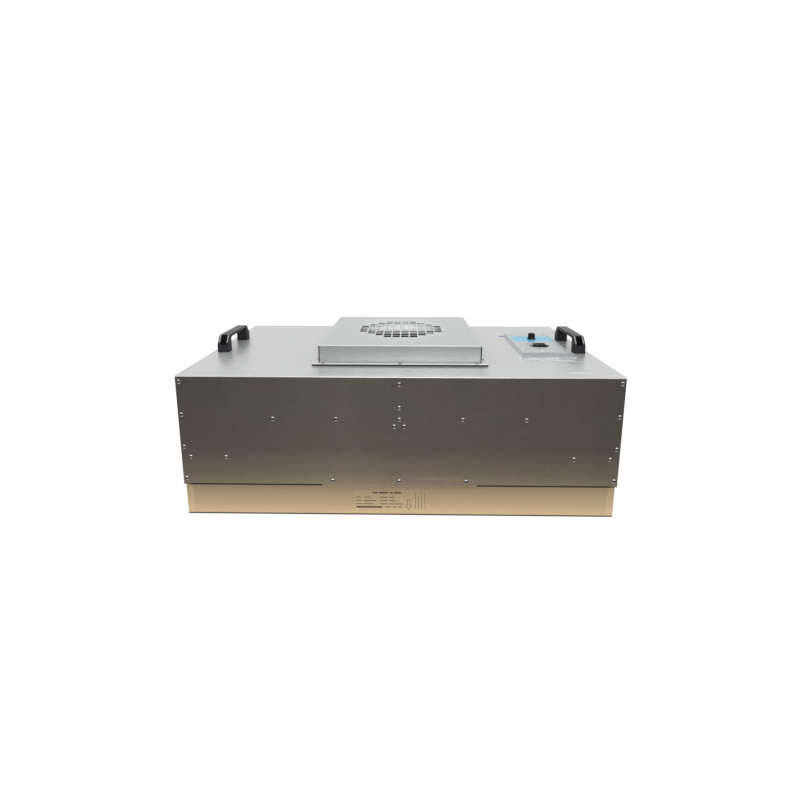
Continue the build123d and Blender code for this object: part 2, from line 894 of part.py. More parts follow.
core_half_width = frame_half_width - frame_wall - media_gap
core_half_depth = frame_half_depth - frame_wall - media_gap
guard_bottom = filter_bottom + frame_wall
media_bottom = guard_bottom + guard_thickness
media_top = filter_top - frame_wall - media_headroom

# A stamped guard with lozenge openings lies under the pleats.
guard_field_width = 2 * (frame_half_width - frame_band - guard_margin)
guard_field_depth = 2 * (frame_half_depth - frame_band - guard_margin)
guard_cell_width = guard_field_width / guard_columns
guard_cell_depth = guard_field_depth / guard_rows
lozenge_x = guard_cell_width / 2 - guard_strand / 2
lozenge_y = guard_cell_depth / 2 - guard_strand / 2
with BuildPart() as face_guard:
    with BuildSketch(Plane.XY.offset(guard_bottom)):
        Rectangle(2 * core_half_width, 2 * core_half_depth)
        with GridLocations(guard_cell_width, guard_cell_depth, guard_columns, guard_rows):
            Polygon(
                (-lozenge_x, 0),
                (0, lozenge_y),
                (lozenge_x, 0),
                (0, -lozenge_y),
                align=None,
                mode=Mode.SUBTRACT,
            )
    extrude(amount=guard_thickness)
save(face_guard.part, "face_guard")

# The media is one sheet pleated across the whole width.
pleat_count = int(2 * core_half_width / pleat_pitch)
pleat_step = core_half_width / pleat_count
ridge_top = [
    (-core_half_width + k * pleat_step, media_top if k % 2 else media_bottom + pleat_sheet)
    for k in range(2 * pleat_count + 1)
]
ridge_bottom = [(x, z - pleat_sheet) for x, z in reversed(ridge_top)]
with BuildPart() as filter_media:
    with BuildSketch(Plane.XZ):
        Polygon(*ridge_top, *ridge_bottom, align=None)
    extrude(amount=core_half_depth, both=True)
save(filter_media.part, "filter_media")

# Foam gasket strips on both faces of the frame, butted at the corners.
band_x = frame_half_width - frame_band / 2
band_y = frame_half_depth - frame_band / 2
for bottom, name in ((0, "grid_gasket"), (filter_top, "seal_gasket")):
    with BuildPart() as strips:
        with BuildSketch(Plane.XY.offset(bottom)):
            with Locations((-band_x, 0), (band_x, 0)):
                Rectangle(frame_band, 2 * frame_half_depth)
        extrude(amount=gasket_thickness)
        with BuildSketch(Plane.XY.offset(bottom)):
            with Locations((0, -band_y), (0, band_y)):
                Rectangle(2 * (frame_half_width - frame_band - media_gap), frame_band)
        extrude(amount=gasket_thickness)
    save(strips.part, name)

# --- Handle bolts -------------------------------------------------------------------

with BuildPart() as handle_bolts:
    with BuildSketch(Plane.XY.offset(casing_top + pocket_floor)):
        with Locations(*handle_points):
            Circle(bolt_head_radius)
    extrude(amount=bolt_head_height)
    with BuildSketch(Plane.XY.offset(casing_top + pocket_floor)):
        with Locations(*handle_points):
            Circle(bolt_shank_radius)
    extrude(amount=-(pocket_floor + sheet + nut_thickness))
save(handle_bolts.part, "handle_bolts")

with BuildPart() as handle_nuts:
    with BuildSketch(Plane.XY.offset(ceiling)):
        with Locations(*handle_points):
            RegularPolygon(bolt_shank_radius * 1.8, 6)
            Circle(bolt_shank_radius + running_gap, mode=Mode.SUBTRACT)
    extrude(amount=-nut_thickness)
save(handle_nuts.part, "handle_nuts")
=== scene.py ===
"""Looks for a fan filter unit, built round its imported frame."""

import math

import bmesh
import bpy
from bpy.props import FloatProperty, FloatVectorProperty, IntProperty, PointerProperty
from bpy.types import Operator, Panel, PropertyGroup
from mathutils import Matrix, Vector, noise


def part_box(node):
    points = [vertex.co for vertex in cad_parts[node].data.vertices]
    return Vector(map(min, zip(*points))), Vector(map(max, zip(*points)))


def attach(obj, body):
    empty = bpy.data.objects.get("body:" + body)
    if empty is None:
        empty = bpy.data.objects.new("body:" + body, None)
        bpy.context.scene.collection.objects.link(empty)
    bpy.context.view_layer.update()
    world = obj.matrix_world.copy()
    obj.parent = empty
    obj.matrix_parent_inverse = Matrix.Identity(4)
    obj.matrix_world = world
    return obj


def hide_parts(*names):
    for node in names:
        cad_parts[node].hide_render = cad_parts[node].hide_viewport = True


bl_info = {
    "name": "Fan Filter Unit Looks",
    "version": (1, 0, 0),
    "blender": (4, 5, 0),
    "location": "View3D > Sidebar > Fan Unit",
    "description": "Finishes, screws, labels and stage for a ceiling fan filter unit",
    "category": "Object",
}

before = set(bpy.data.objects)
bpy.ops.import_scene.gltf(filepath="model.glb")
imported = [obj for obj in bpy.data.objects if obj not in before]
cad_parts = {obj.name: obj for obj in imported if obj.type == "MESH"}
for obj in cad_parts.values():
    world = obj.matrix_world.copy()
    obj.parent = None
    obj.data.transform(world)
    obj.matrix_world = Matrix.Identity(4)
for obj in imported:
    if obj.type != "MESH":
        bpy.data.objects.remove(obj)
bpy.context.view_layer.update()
MM = 0.001

CASING_LOW, CASING_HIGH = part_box("casing_shell")
TOP = CASING_HIGH.z
HALF_WIDTH = CASING_HIGH.x
WALL_FACE = CASING_HIGH.y
FILTER_LOW, FILTER_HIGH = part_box("filter_frame_front")
FILTER_FACE = FILTER_LOW.y
COWL_LOW, COWL_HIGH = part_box("intake_cowl")
LID_LOW, LID_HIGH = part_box("control_lid")
DIAL_LOW, DIAL_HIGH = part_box("speed_dial")
INLET_LOW, INLET_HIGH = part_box("power_inlet")
PLATE_LOW, PLATE_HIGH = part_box("motor_plate")
GUARD_LOW, GUARD_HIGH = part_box("face_guard")
HUB_LOW, HUB_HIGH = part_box("motor_rotor")


def display(red, green, blue):
    """Linear colour of an 8-bit display colour."""

    def linear(level):
        share = level / 255
        if share <= 0.04045:
            return share / 12.92
        return ((share + 0.055) / 1.055) ** 2.4

    return (linear(red), linear(green), linear(blue), 1.0)


def colour_property(name, description, red, green, blue):
    return FloatVectorProperty(
        name=name,
        description=description,
        default=display(red, green, blue),
        size=4,
        min=0.0,
        max=1.0,
        subtype="COLOR",
    )


def length_property(name, description, default):
    return FloatProperty(
        name=name, description=description, default=default, min=0.0, unit="LENGTH"
    )


# --- Settings -----------------------------------------------------------------------


class FinishSettings(PropertyGroup):
    """Colours of the unit's sheet metal, frame, plastics and labels."""

    # Top and wall colours are lit and shaded copies of one galvanised sheet: the wall colours are a
    # painted reflection, darker and warmer than the top.
    top_steel: colour_property("Top steel", "Galvanised sheet that faces up", 201, 203, 202)
    wall_head: colour_property("Wall, upper", "Galvanised wall under its top edge", 71, 67, 63)
    wall_middle: colour_property("Wall, middle", "Galvanised wall at mid height", 77, 71, 65)
    wall_foot: colour_property("Wall, lower", "Galvanised wall at its foot", 116, 105, 91)
    wall_tab: colour_property("Wall tabs", "Galvanised tabs below the wall's foot", 126, 112, 89)
    # Cowl colours: a lit top, and a painted shade down its walls.
    cowl_head: colour_property("Cowl wall, upper", "Cowl wall under its top edge", 138, 141, 138)
    cowl_foot: colour_property("Cowl wall, lower", "Cowl wall above its flange", 154, 158, 157)
    cowl_lid: colour_property("Cowl top", "Cowl sheet that faces up", 190, 193, 191)
    # Frame colours are painted shade: darker up under the casing, paler towards the foot.
    frame_head: colour_property("Frame, upper", "Anodised frame at its top", 132, 116, 92)
    frame_middle: colour_property("Frame, middle", "Anodised frame at mid height", 175, 152, 119)
    frame_foot: colour_property("Frame, lower", "Anodised frame at its foot", 199, 175, 137)
    handle_black: colour_property("Handle", "Moulded plastic of handles", 34, 32, 37)
    fitting_black: colour_property("Fittings", "Moulded plastic of dial and inlet", 10, 10, 11)
    lid_grey: colour_property("Lid", "Paint of the control box lid", 201, 204, 205)
    label_blue: colour_property("Control label", "Blue of the control label", 112, 200, 238)
    label_ink: colour_property("Label ink", "Ink of the printed rules", 46, 27, 12)
    sticker_violet: colour_property("Sticker", "Small violet sticker", 112, 98, 168)


class ScrewSettings(PropertyGroup):
    """Sizes of the pan head screws."""

    head_radius: length_property("Head radius", "Radius of a screw head", 4.7 * MM)
    head_height: length_property("Head height", "Height of a screw head", 2.3 * MM)
    recess_length: length_property("Recess length", "Length of the cross recess", 5.4 * MM)
    recess_width: length_property("Recess width", "Width of the cross recess", 1.9 * MM)
    seed: IntProperty(name="Seed", description="Turns each screw its own way", default=7, min=0)


class GuardSettings(PropertyGroup):
    """Sizes of the mesh under the filter pleats."""

    cell_width: length_property("Cell width", "Width of one diamond", 30.0 * MM)
    cell_depth: length_property("Cell depth", "Depth of one diamond", 15.0 * MM)
    strand: length_property("Strand", "Width of a strand", 1.6 * MM)


class StageSettings(PropertyGroup):
    """The camera, the lamps and the floor."""

    lens: FloatProperty(name="Lens", description="Focal length", default=21.637, unit="CAMERA")
    rise: FloatProperty(name="Shift", description="Vertical lens shift", default=-0.09419)
    key_power: FloatProperty(name="Key", description="Overhead lamp", default=6.0, unit="POWER")
    fill_power: FloatProperty(name="Fill", description="Low front lamp", default=45.0, unit="POWER")
    sky: FloatProperty(name="Sky", description="Strength of the even light", default=0.68)
    glint_power: FloatProperty(
        name="Grille lamp", description="Narrow lamp by the camera", default=170.0, unit="POWER"
    )


class FanUnitSettings(PropertyGroup):
    """Everything that a user may change on the unit."""

    finish: PointerProperty(type=FinishSettings)
    screws: PointerProperty(type=ScrewSettings)
    guard: PointerProperty(type=GuardSettings)
    stage: PointerProperty(type=StageSettings)


def settings():
    return bpy.context.scene.fan_unit


# --- Node helpers -------------------------------------------------------------------


def feed(tree, node, values):
    """Fills in a node's inputs, by name or number, each with a link or a constant."""
    for socket, value in values.items():
        if isinstance(value, bpy.types.NodeSocket):
            tree.links.new(value, node.inputs[socket])
        else:
            node.inputs[socket].default_value = value


def add_node(tree, kind, values=None, **options):
    """A new node with its options set and its inputs filled in."""
    made = tree.nodes.new(kind)
    for option, value in options.items():
        setattr(made, option, value)
    feed(tree, made, values or {})
    return made


def maths(tree, operation, first, second=0.0, clamp=False):
    """The result of one sum on two values or sockets."""
    made = add_node(tree, "ShaderNodeMath", {0: first, 1: second}, operation=operation)
    made.use_clamp = clamp
    return made.outputs[0]


def smooth_step(tree, value, low, high):
    """0 below low and 1 above high, with a smooth change between."""
    made = add_node(
        tree,
        "ShaderNodeMapRange",
        {"Value": value, "From Min": low, "From Max": high},
        interpolation_type="SMOOTHSTEP",
    )
    return made.outputs["Result"]


def blend_colour(tree, share, first, second, mode="MIX"):
    """The first colour where share is 0 and the second where it is 1."""
    values = {0: share, 6: first, 7: second}
    return add_node(tree, "ShaderNodeMix", values, data_type="RGBA", blend_type=mode).outputs[2]


def product(tree, first, second):
    """Two colours multiplied by each other."""
    return blend_colour(tree, 1.0, first, second, "MULTIPLY")


def object_place(tree):
    """Coordinates in metres, in the frame of the object."""
    return add_node(tree, "ShaderNodeTexCoord").outputs["Object"]


def noise_of(tree, coordinates, scale, detail=2.0, roughness=0.5, stretch=None):
    """Soft noise from 0 to 1, stretched by a factor for each axis."""
    if stretch is not None:
        mapping = add_node(tree, "ShaderNodeMapping", {"Vector": coordinates, "Scale": stretch})
        coordinates = mapping.outputs[0]
    made = add_node(
        tree,
        "ShaderNodeTexNoise",
        {"Vector": coordinates, "Scale": scale, "Detail": detail, "Roughness": roughness},
    )
    return made.outputs["Fac"]


def new_group(name, inputs, outputs):
    """An empty shader node group and its two end nodes."""
    tree = bpy.data.node_groups.new(name, "ShaderNodeTree")
    kinds = {"colour": "NodeSocketColor", "value": "NodeSocketFloat", "vector": "NodeSocketVector"}
    for label, kind, default in inputs:
        socket = tree.interface.new_socket(label, in_out="INPUT", socket_type=kinds[kind])
        socket.default_value = default
    for label, kind in outputs:
        tree.interface.new_socket(label, in_out="OUTPUT", socket_type=kinds[kind])
    entry = tree.nodes.new("NodeGroupInput")
    result = tree.nodes.new("NodeGroupOutput")
    return tree, entry, result


def use_group(tree, name, values):
    """A node that uses the shader group of that name."""
    return add_node(tree, "ShaderNodeGroup", values, node_tree=bpy.data.node_groups[name])


def new_material(name, **sockets):
    """A material with a Principled shader whose constants are set on its own sockets."""
    material = bpy.data.materials.new(name)
    material.use_nodes = True
    tree = material.node_tree
    shader = tree.nodes["Principled BSDF"]
    for socket, value in sockets.items():
        shader.inputs[socket.replace("_", " ")].default_value = value
    return material, tree, shader


def bump(tree, shader, height, strength, distance):
    """Gives the shader a relief of the given height."""
    made = add_node(
        tree, "ShaderNodeBump", {"Height": height, "Strength": strength, "Distance": distance}
    )
    feed(tree, shader, {"Normal": made.outputs[0]})


# --- Shared effects -----------------------------------------------------------------


def galvanised_group():
    """Zinc spangle: pale and dark flakes, soft clouds and fine rolling streaks."""
    tree, entry, result = new_group(
        "zinc_spangle",
        (
            ("Colour", "colour", (0.6, 0.6, 0.6, 1.0)),
            ("Flake Scale", "value", 90.0),
            ("Flake Contrast", "value", 0.06),
            ("Cloud Contrast", "value", 0.05),
            ("Roughness", "value", 0.35),
        ),
        (("Colour", "colour"), ("Roughness", "value"), ("Height", "value")),
    )
    place = object_place(tree)
    flakes = add_node(
        tree,
        "ShaderNodeTexVoronoi",
        {"Vector": place, "Scale": entry.outputs["Flake Scale"], "Randomness": 1.0},
    )
    flake_tone = add_node(tree, "ShaderNodeSeparateColor", {"Color": flakes.outputs["Color"]})
    flake = maths(tree, "SUBTRACT", flake_tone.outputs[0], 0.5)
    flake = maths(tree, "MULTIPLY", flake, entry.outputs["Flake Contrast"])
    cloud = maths(tree, "SUBTRACT", noise_of(tree, place, 7.0, 3.0), 0.5)
    cloud = maths(tree, "MULTIPLY", cloud, entry.outputs["Cloud Contrast"])
    streak = noise_of(tree, place, 14.0, 4.0, 0.6, stretch=(1.0, 1.0, 0.12))
    streak = maths(tree, "MULTIPLY", maths(tree, "SUBTRACT", streak, 0.5), 0.06)
    tone = maths(tree, "ADD", maths(tree, "ADD", flake, cloud), streak)
    level = maths(tree, "ADD", tone, 1.0)
    grey = add_node(tree, "ShaderNodeCombineColor", {0: level, 1: level, 2: level})
    colour = product(tree, entry.outputs["Colour"], grey.outputs[0])
    rough = maths(tree, "ADD", entry.outputs["Roughness"], maths(tree, "MULTIPLY", tone, 0.8))
    feed(tree, result, {"Colour": colour, "Roughness": rough, "Height": flake_tone.outputs[1]})
    return tree


def height_group():
    """How far up a point lies between two heights, from 0 to 1."""
    tree, entry, result = new_group(
        "height_share", (("Low", "value", 0.0), ("High", "value", 1.0)), (("Share", "value"),)
    )
    place = object_place(tree)
    height = add_node(tree, "ShaderNodeSeparateXYZ", {0: place}).outputs["Z"]
    share = add_node(
        tree,
        "ShaderNodeMapRange",
        {
            "Value": height,
            "From Min": entry.outputs["Low"],
            "From Max": entry.outputs["High"],
        },
    )
    feed(tree, result, {"Share": share.outputs["Result"]})
    return tree


def facing_group():
    """How far a face looks along a direction: 0 at the Low slope and 1 at the High slope."""
    tree, entry, result = new_group(
        "facing_share",
        (
            ("Direction", "vector", (0.0, 0.0, 1.0)),
            ("Low", "value", 0.12),
            ("High", "value", 0.45),
        ),
        (("Share", "value"),),
    )
    facing = add_node(tree, "ShaderNodeNewGeometry").outputs["Normal"]
    along = add_node(
        tree,
        "ShaderNodeVectorMath",
        {0: facing, 1: entry.outputs["Direction"]},
        operation="DOT_PRODUCT",
    ).outputs["Value"]
    share = smooth_step(tree, along, entry.outputs["Low"], entry.outputs["High"])
    feed(tree, result, {"Share": share})
    return tree


def box_group():
    """1 inside a box and its mirror image across the middle, with a soft edge."""
    tree, entry, result = new_group(
        "box_mask",
        (
            ("Low", "vector", (0.0, 0.0, 0.0)),
            ("High", "vector", (1.0, 1.0, 1.0)),
            ("Soft", "value", 0.0002),
        ),
        (("Share", "value"),),
    )
    place = object_place(tree)
    parts = add_node(tree, "ShaderNodeSeparateXYZ", {0: place})
    mirrored = maths(tree, "ABSOLUTE", parts.outputs["X"])
    spot = add_node(
        tree, "ShaderNodeCombineXYZ", {0: mirrored, 1: parts.outputs["Y"], 2: parts.outputs["Z"]}
    ).outputs[0]
    over = add_node(
        tree, "ShaderNodeVectorMath", {0: spot, 1: entry.outputs["Low"]}, operation="SUBTRACT"
    )
    under = add_node(
        tree, "ShaderNodeVectorMath", {0: entry.outputs["High"], 1: spot}, operation="SUBTRACT"
    )
    least = add_node(
        tree, "ShaderNodeVectorMath", {0: over.outputs[0], 1: under.outputs[0]}, operation="MINIMUM"
    )
    gaps = add_node(tree, "ShaderNodeSeparateXYZ", {0: least.outputs[0]})
    inside = maths(tree, "MINIMUM", gaps.outputs[0], gaps.outputs[1])
    inside = maths(tree, "MINIMUM", inside, gaps.outputs[2])
    share = maths(tree, "DIVIDE", inside, entry.outputs["Soft"], clamp=True)
    feed(tree, result, {"Share": share})
    return tree


def moulded_group():
    """Fine spark-eroded grain of moulded plastic, with a few rubbed patches."""
    tree, entry, result = new_group(
        "moulded_grain",
        (
            ("Colour", "colour", (0.02, 0.02, 0.02, 1.0)),
            ("Rubbed", "colour", (0.06, 0.06, 0.06, 1.0)),
            ("Roughness", "value", 0.45),
            ("Grain Scale", "value", 1400.0),
        ),
        (("Colour", "colour"), ("Roughness", "value"), ("Height", "value")),
    )
    place = object_place(tree)
    grain = noise_of(tree, place, entry.outputs["Grain Scale"], 2.0)
    patch = smooth_step(tree, noise_of(tree, place, 38.0, 3.0, 0.6), 0.5, 0.75)
    share = maths(tree, "MULTIPLY", patch, 0.45)
    colour = blend_colour(tree, share, entry.outputs["Colour"], entry.outputs["Rubbed"])
    wear = maths(tree, "MULTIPLY", maths(tree, "SUBTRACT", grain, 0.5), 0.12)
    rough = maths(tree, "ADD", entry.outputs["Roughness"], wear)
    feed(tree, result, {"Colour": colour, "Roughness": rough, "Height": grain})
    return tree


# --- Materials ----------------------------------------------------------------------


def ramp(tree, share, stops):
    """A colour ramp through the given stops of place and colour."""
    made = add_node(tree, "ShaderNodeValToRGB", {0: share})
    elements = made.color_ramp.elements
    while len(elements) < len(stops):
        elements.new(1.0)
    for element, (place, colour) in zip(elements, stops):
        element.position = place
        element.color = tuple(colour)
    return made.outputs["Color"]


def height_share(tree, low, high):
    """0 at the low height and 1 at the high one."""
    values = {"Low": low, "High": high}
    return use_group(tree, "height_share", values).outputs["Share"]


def facing_share(tree, direction=(0.0, 0.0, 1.0), low=0.12, high=0.45):
    """1 where a face looks along the direction, and 0 where it doesn't."""
    values = {"Direction": direction, "Low": low, "High": high}
    return use_group(tree, "facing_share", values).outputs["Share"]


def box_mask(tree, low, high, soft=0.2):
    """1 inside a box given in millimetres, on both sides of the middle."""
    values = {
        "Low": tuple(level * MM for level in low),
        "High": tuple(level * MM for level in high),
        "Soft": soft * MM,
    }
    return use_group(tree, "box_mask", values).outputs["Share"]


def grey(level):
    return (level, level, level, 1.0)


GRAIN_STRENGTH = 0.12
FINE_RELIEF = 0.2 * MM
DOWNWARD = (0.0, 0.0, -1.0)
FORWARD = (0.0, -1.0, 0.0)
LEFTWARD = (-1.0, 0.0, 0.0)

# Boxes that hold painted light or shade, as opposite corners in millimetres.
COWL_APRON = ((-30, -287, 300), (205, -195, 360))
AIR_OPENING = ((-1, -189, 326), (189, 189, 332))
OPENING_SHADE = ((-1, 140, 326), (130, 164, 332))
HEM = ((174.5, -288, 74), (474, 288, 77.6))
COWL_INSIDE = ((-1, -190.9, 333.5), (190.9, 190.9, 376.4))
COWL_BACK_MIDDLE = ((-1, 150, 333), (62, 195, 378))
FLANGE_FRONT = ((-1, -207, 332), (207, -191.5, 335))
FRONT_SLOTS = ((-1, -140, 370), (142, -50, 377.6))
FRAME_END = ((469.0, -300, -1), (500, 300, 80))
HANDLE_SLOPES = ((447.9, -74.6, 336), (472.1, 88.2, 380))
HANDLE_FRONT_POCKET = ((451.6, -76.4, 336.5), (468.4, -59.0, 380))
HANDLE_FRONT_LIP = ((450.4, -79.0, 348.4), (469.6, -74.0, 380))
HANDLE_BACK_POCKET = ((451.6, 72.6, 336.5), (468.4, 90.0, 380))
SLOT_SHADES = (
    ((47.0, 189.0, 352.5), (66.0, 192.0, 359.5)),
    ((70.0, 189.0, 348.3), (91.0, 192.0, 355.5)),
    ((96.0, 189.0, 343.5), (109.0, 192.0, 351.5)),
)


def finish_steel(tree, shader, colour, roughness, flake_scale=90.0, flake=0.06):
    """Links the zinc spangle to a shader."""
    values = {
        "Colour": colour,
        "Flake Scale": flake_scale,
        "Flake Contrast": flake,
        "Roughness": roughness,
    }
    spangle = use_group(tree, "zinc_spangle", values)
    values = {
        "Base Color": spangle.outputs["Colour"],
        "Roughness": spangle.outputs["Roughness"],
    }
    feed(tree, shader, values)
    bump(tree, shader, spangle.outputs["Height"], 0.05, 0.0003)


def sheet_metal(tree, shader, colour, top, inside, inner_colour):
    """Rolled zinc: mirror-like on its walls, duller on top, and matt in the air's way, where it
    takes the painted light and shade of inner_colour.
    """
    metallic = maths(tree, "SUBTRACT", 0.85, maths(tree, "MULTIPLY", top, 0.4))
    metallic = maths(tree, "MULTIPLY", metallic, maths(tree, "SUBTRACT", 1.0, inside))
    feed(tree, shader, {"Metallic": metallic})
    colour = blend_colour(tree, inside, colour, inner_colour)
    rough = maths(tree, "ADD", maths(tree, "MULTIPLY", inside, 0.3), 0.36)
    rough = maths(tree, "SUBTRACT", rough, maths(tree, "MULTIPLY", top, 0.03))
    finish_steel(tree, shader, colour, rough)


def casing_steel():
    """Galvanised casing: lit on top, a painted reflection down its walls that is darker and warmer,
    and painted shade under the cowl and along the hem.
    """
    finish = settings().finish
    material, tree, shader = new_material("casing_steel")
    # The wall ramp is a painted reflection: dark under the top edge, paler and warmer towards the
    # foot and the tabs.
    share = height_share(tree, 66 * MM, 330 * MM)
    wall = ramp(
        tree,
        share,
        (
            (0.0, finish.wall_tab),
            (0.034, finish.wall_tab),
            (0.045, finish.wall_foot),
            (0.14, display(100, 90, 79)),
            (0.36, finish.wall_middle),
            (0.9, finish.wall_head),
        ),
    )
    place = object_place(tree)
    along = add_node(tree, "ShaderNodeSeparateXYZ", {0: place}).outputs["X"]
    across = add_node(
        tree,
        "ShaderNodeMapRange",
        {"Value": along, "From Min": -HALF_WIDTH, "From Max": HALF_WIDTH},
    ).outputs["Result"]
    # Painted reflection across the walls: brightest a little left of the middle, darker towards the
    # ends.
    reflection_across = ramp(
        tree,
        across,
        (
            (0.0, grey(0.47)),
            (0.2, grey(0.54)),
            (0.38, grey(0.64)),
            (0.5, grey(0.57)),
            (0.74, grey(0.53)),
            (1.0, grey(0.455)),
        ),
    )
    wall = product(tree, wall, reflection_across)
    wall = product(tree, wall, grey(2.0))
    patch = smooth_step(tree, noise_of(tree, place, 9.0, 3.0), 0.4, 0.62)
    tint = blend_colour(tree, patch, (0.97, 1.0, 0.96, 1.0), (1.04, 0.99, 1.03, 1.0))
    wall = product(tree, wall, tint)
    # Faces that look up take the lit top colour; the walls keep the painted reflection.
    top = facing_share(tree)
    # Painted reflection of the cowl: the top is darker just in front of it.
    apron = box_mask(tree, *COWL_APRON, 24.0)
    upper = blend_colour(tree, apron, finish.top_steel, display(186, 189, 189))
    colour = blend_colour(tree, top, wall, upper)
    # Painted shade on the casing top under the cowl, with a painted shadow near black across the
    # back of the opening.
    inside = box_mask(tree, *AIR_OPENING)
    shaded = box_mask(tree, *OPENING_SHADE, 2.0)
    floor = blend_colour(tree, shaded, display(118, 120, 118), display(14, 14, 14))
    # Painted shade, dark brown, along the walls' bent foot.
    hem = box_mask(tree, *HEM, 0.1)
    floor = blend_colour(tree, hem, floor, display(26, 16, 10))
    inside = maths(tree, "MAXIMUM", inside, hem)
    sheet_metal(tree, shader, colour, top, inside, floor)
    return material


def air_way_tone(tree, share):
    """Painted light and shade of the cowl's inside: a painted white band of light low on the middle
    of its back wall, and three painted slot shadows.
    """
    middle = box_mask(tree, *COWL_BACK_MIDDLE, 28.0)
    low = blend_colour(tree, middle, grey(0.26), grey(0.15))
    high = blend_colour(tree, middle, grey(0.42), grey(1.0))
    tone = ramp(
        tree,
        share,
        (
            (0.0, grey(0.0)),
            (0.2, grey(0.0)),
            (0.27, grey(1.0)),
            (0.37, grey(1.0)),
            (0.42, grey(0.5)),
            (1.0, grey(0.62)),
        ),
    )
    tone = blend_colour(tree, tone, low, high)
    # Painted shadows of three slots on the back wall.
    for corners in SLOT_SHADES:
        shade = box_mask(tree, *corners, 0.6)
        tone = blend_colour(tree, shade, tone, grey(0.03))
    return tone


def cowl_steel():
    """Galvanised cowl: lit on top, a painted shade down its walls and on the flange's edges, a
    painted highlight on the flange's front lip, painted shade in the front slots and painted light
    inside.
    """
    finish = settings().finish
    material, tree, shader = new_material("cowl_steel")
    share = height_share(tree, COWL_LOW.z, COWL_HIGH.z)
    # Painted shade: near black on the flange's edges, then darker from the wall's foot up to its
    # top.
    wall = ramp(
        tree,
        share,
        (
            (0.0, display(46, 48, 48)),
            (0.03, display(46, 48, 48)),
            (0.04, finish.cowl_foot),
            (0.95, finish.cowl_head),
        ),
    )
    top = facing_share(tree)
    flange = maths(tree, "LESS_THAN", share, 0.035)
    front = box_mask(tree, *FLANGE_FRONT, 0.3)
    lid = blend_colour(tree, flange, finish.cowl_lid, finish.top_steel)
    colour = blend_colour(tree, top, wall, lid)
    # Painted light and shade inside the cowl.
    inside = box_mask(tree, *COWL_INSIDE)
    # Painted highlight along the flange's front lip.
    lip = maths(tree, "MULTIPLY", front, top)
    matt = maths(tree, "MAXIMUM", inside, lip)
    tone = blend_colour(tree, lip, air_way_tone(tree, share), display(240, 241, 240))
    # Painted shade on the sides of the front slots.
    rows = box_mask(tree, *FRONT_SLOTS, 0.3)
    cut = maths(tree, "MULTIPLY", rows, maths(tree, "SUBTRACT", 1.0, top))
    matt = maths(tree, "MAXIMUM", matt, cut)
    tone = blend_colour(tree, cut, tone, display(30, 31, 30))
    sheet_metal(tree, shader, colour, top, matt, tone)
    return material


def inner_steel():
    """Plain galvanised sheet inside the casing."""
    material, tree, shader = new_material("inner_steel", Metallic=0.85)
    finish_steel(tree, shader, display(150, 150, 148), 0.4)
    return material


def frame_tone(tree):
    """Colour of the anodised frame with painted light: a darker foot edge and a darkening up under
    the casing as painted shade, and a painted reflection on its two end bands.
    """
    finish = settings().finish
    # Painted shade: a darker foot edge, then darker upward under the casing.
    stops = (
        (0.0, display(150, 132, 108)),
        (0.02, finish.frame_foot),
        (0.35, finish.frame_middle),
        (1.0, finish.frame_head),
    )
    tone = ramp(tree, height_share(tree, FILTER_LOW.z, FILTER_HIGH.z), stops)
    # Painted reflection: the end bands are a little lighter.
    band = box_mask(tree, *FRAME_END, 0.5)
    return blend_colour(tree, maths(tree, "MULTIPLY", band, 0.12), tone, display(236, 210, 170))


def anodised_frame():
    """Anodised aluminium frame of the filter, drawn lengthwise."""
    material, tree, shader = new_material("anodised_frame", Metallic=0.4)
    place = object_place(tree)
    drawn = noise_of(tree, place, 260.0, 3.0, 0.6, stretch=(0.02, 1.0, 1.0))
    cloud = noise_of(tree, place, 9.0, 3.0)
    shade = maths(tree, "ADD", maths(tree, "MULTIPLY", drawn, 0.08), 0.96)
    shade = maths(tree, "ADD", shade, maths(tree, "MULTIPLY", cloud, 0.06))
    shade = maths(tree, "SUBTRACT", shade, 0.03)
    level = add_node(tree, "ShaderNodeCombineColor", {0: shade, 1: shade, 2: shade})
    colour = product(tree, frame_tone(tree), level.outputs[0])
    rough = maths(tree, "ADD", maths(tree, "MULTIPLY", drawn, 0.15), 0.36)
    feed(tree, shader, {"Base Color": colour, "Roughness": rough})
    bump(tree, shader, drawn, 0.08, FINE_RELIEF)
    return material


def frame_label():
    """Clear label on the filter's frame, which shows the metal's colour with its painted light and
    shade.
    """
    material, tree, shader = new_material("label_tan", Metallic=0.4, Roughness=0.44)
    tone = blend_colour(tree, 0.04, frame_tone(tree), display(222, 200, 140))
    feed(tree, shader, {"Base Color": tone})
    return material


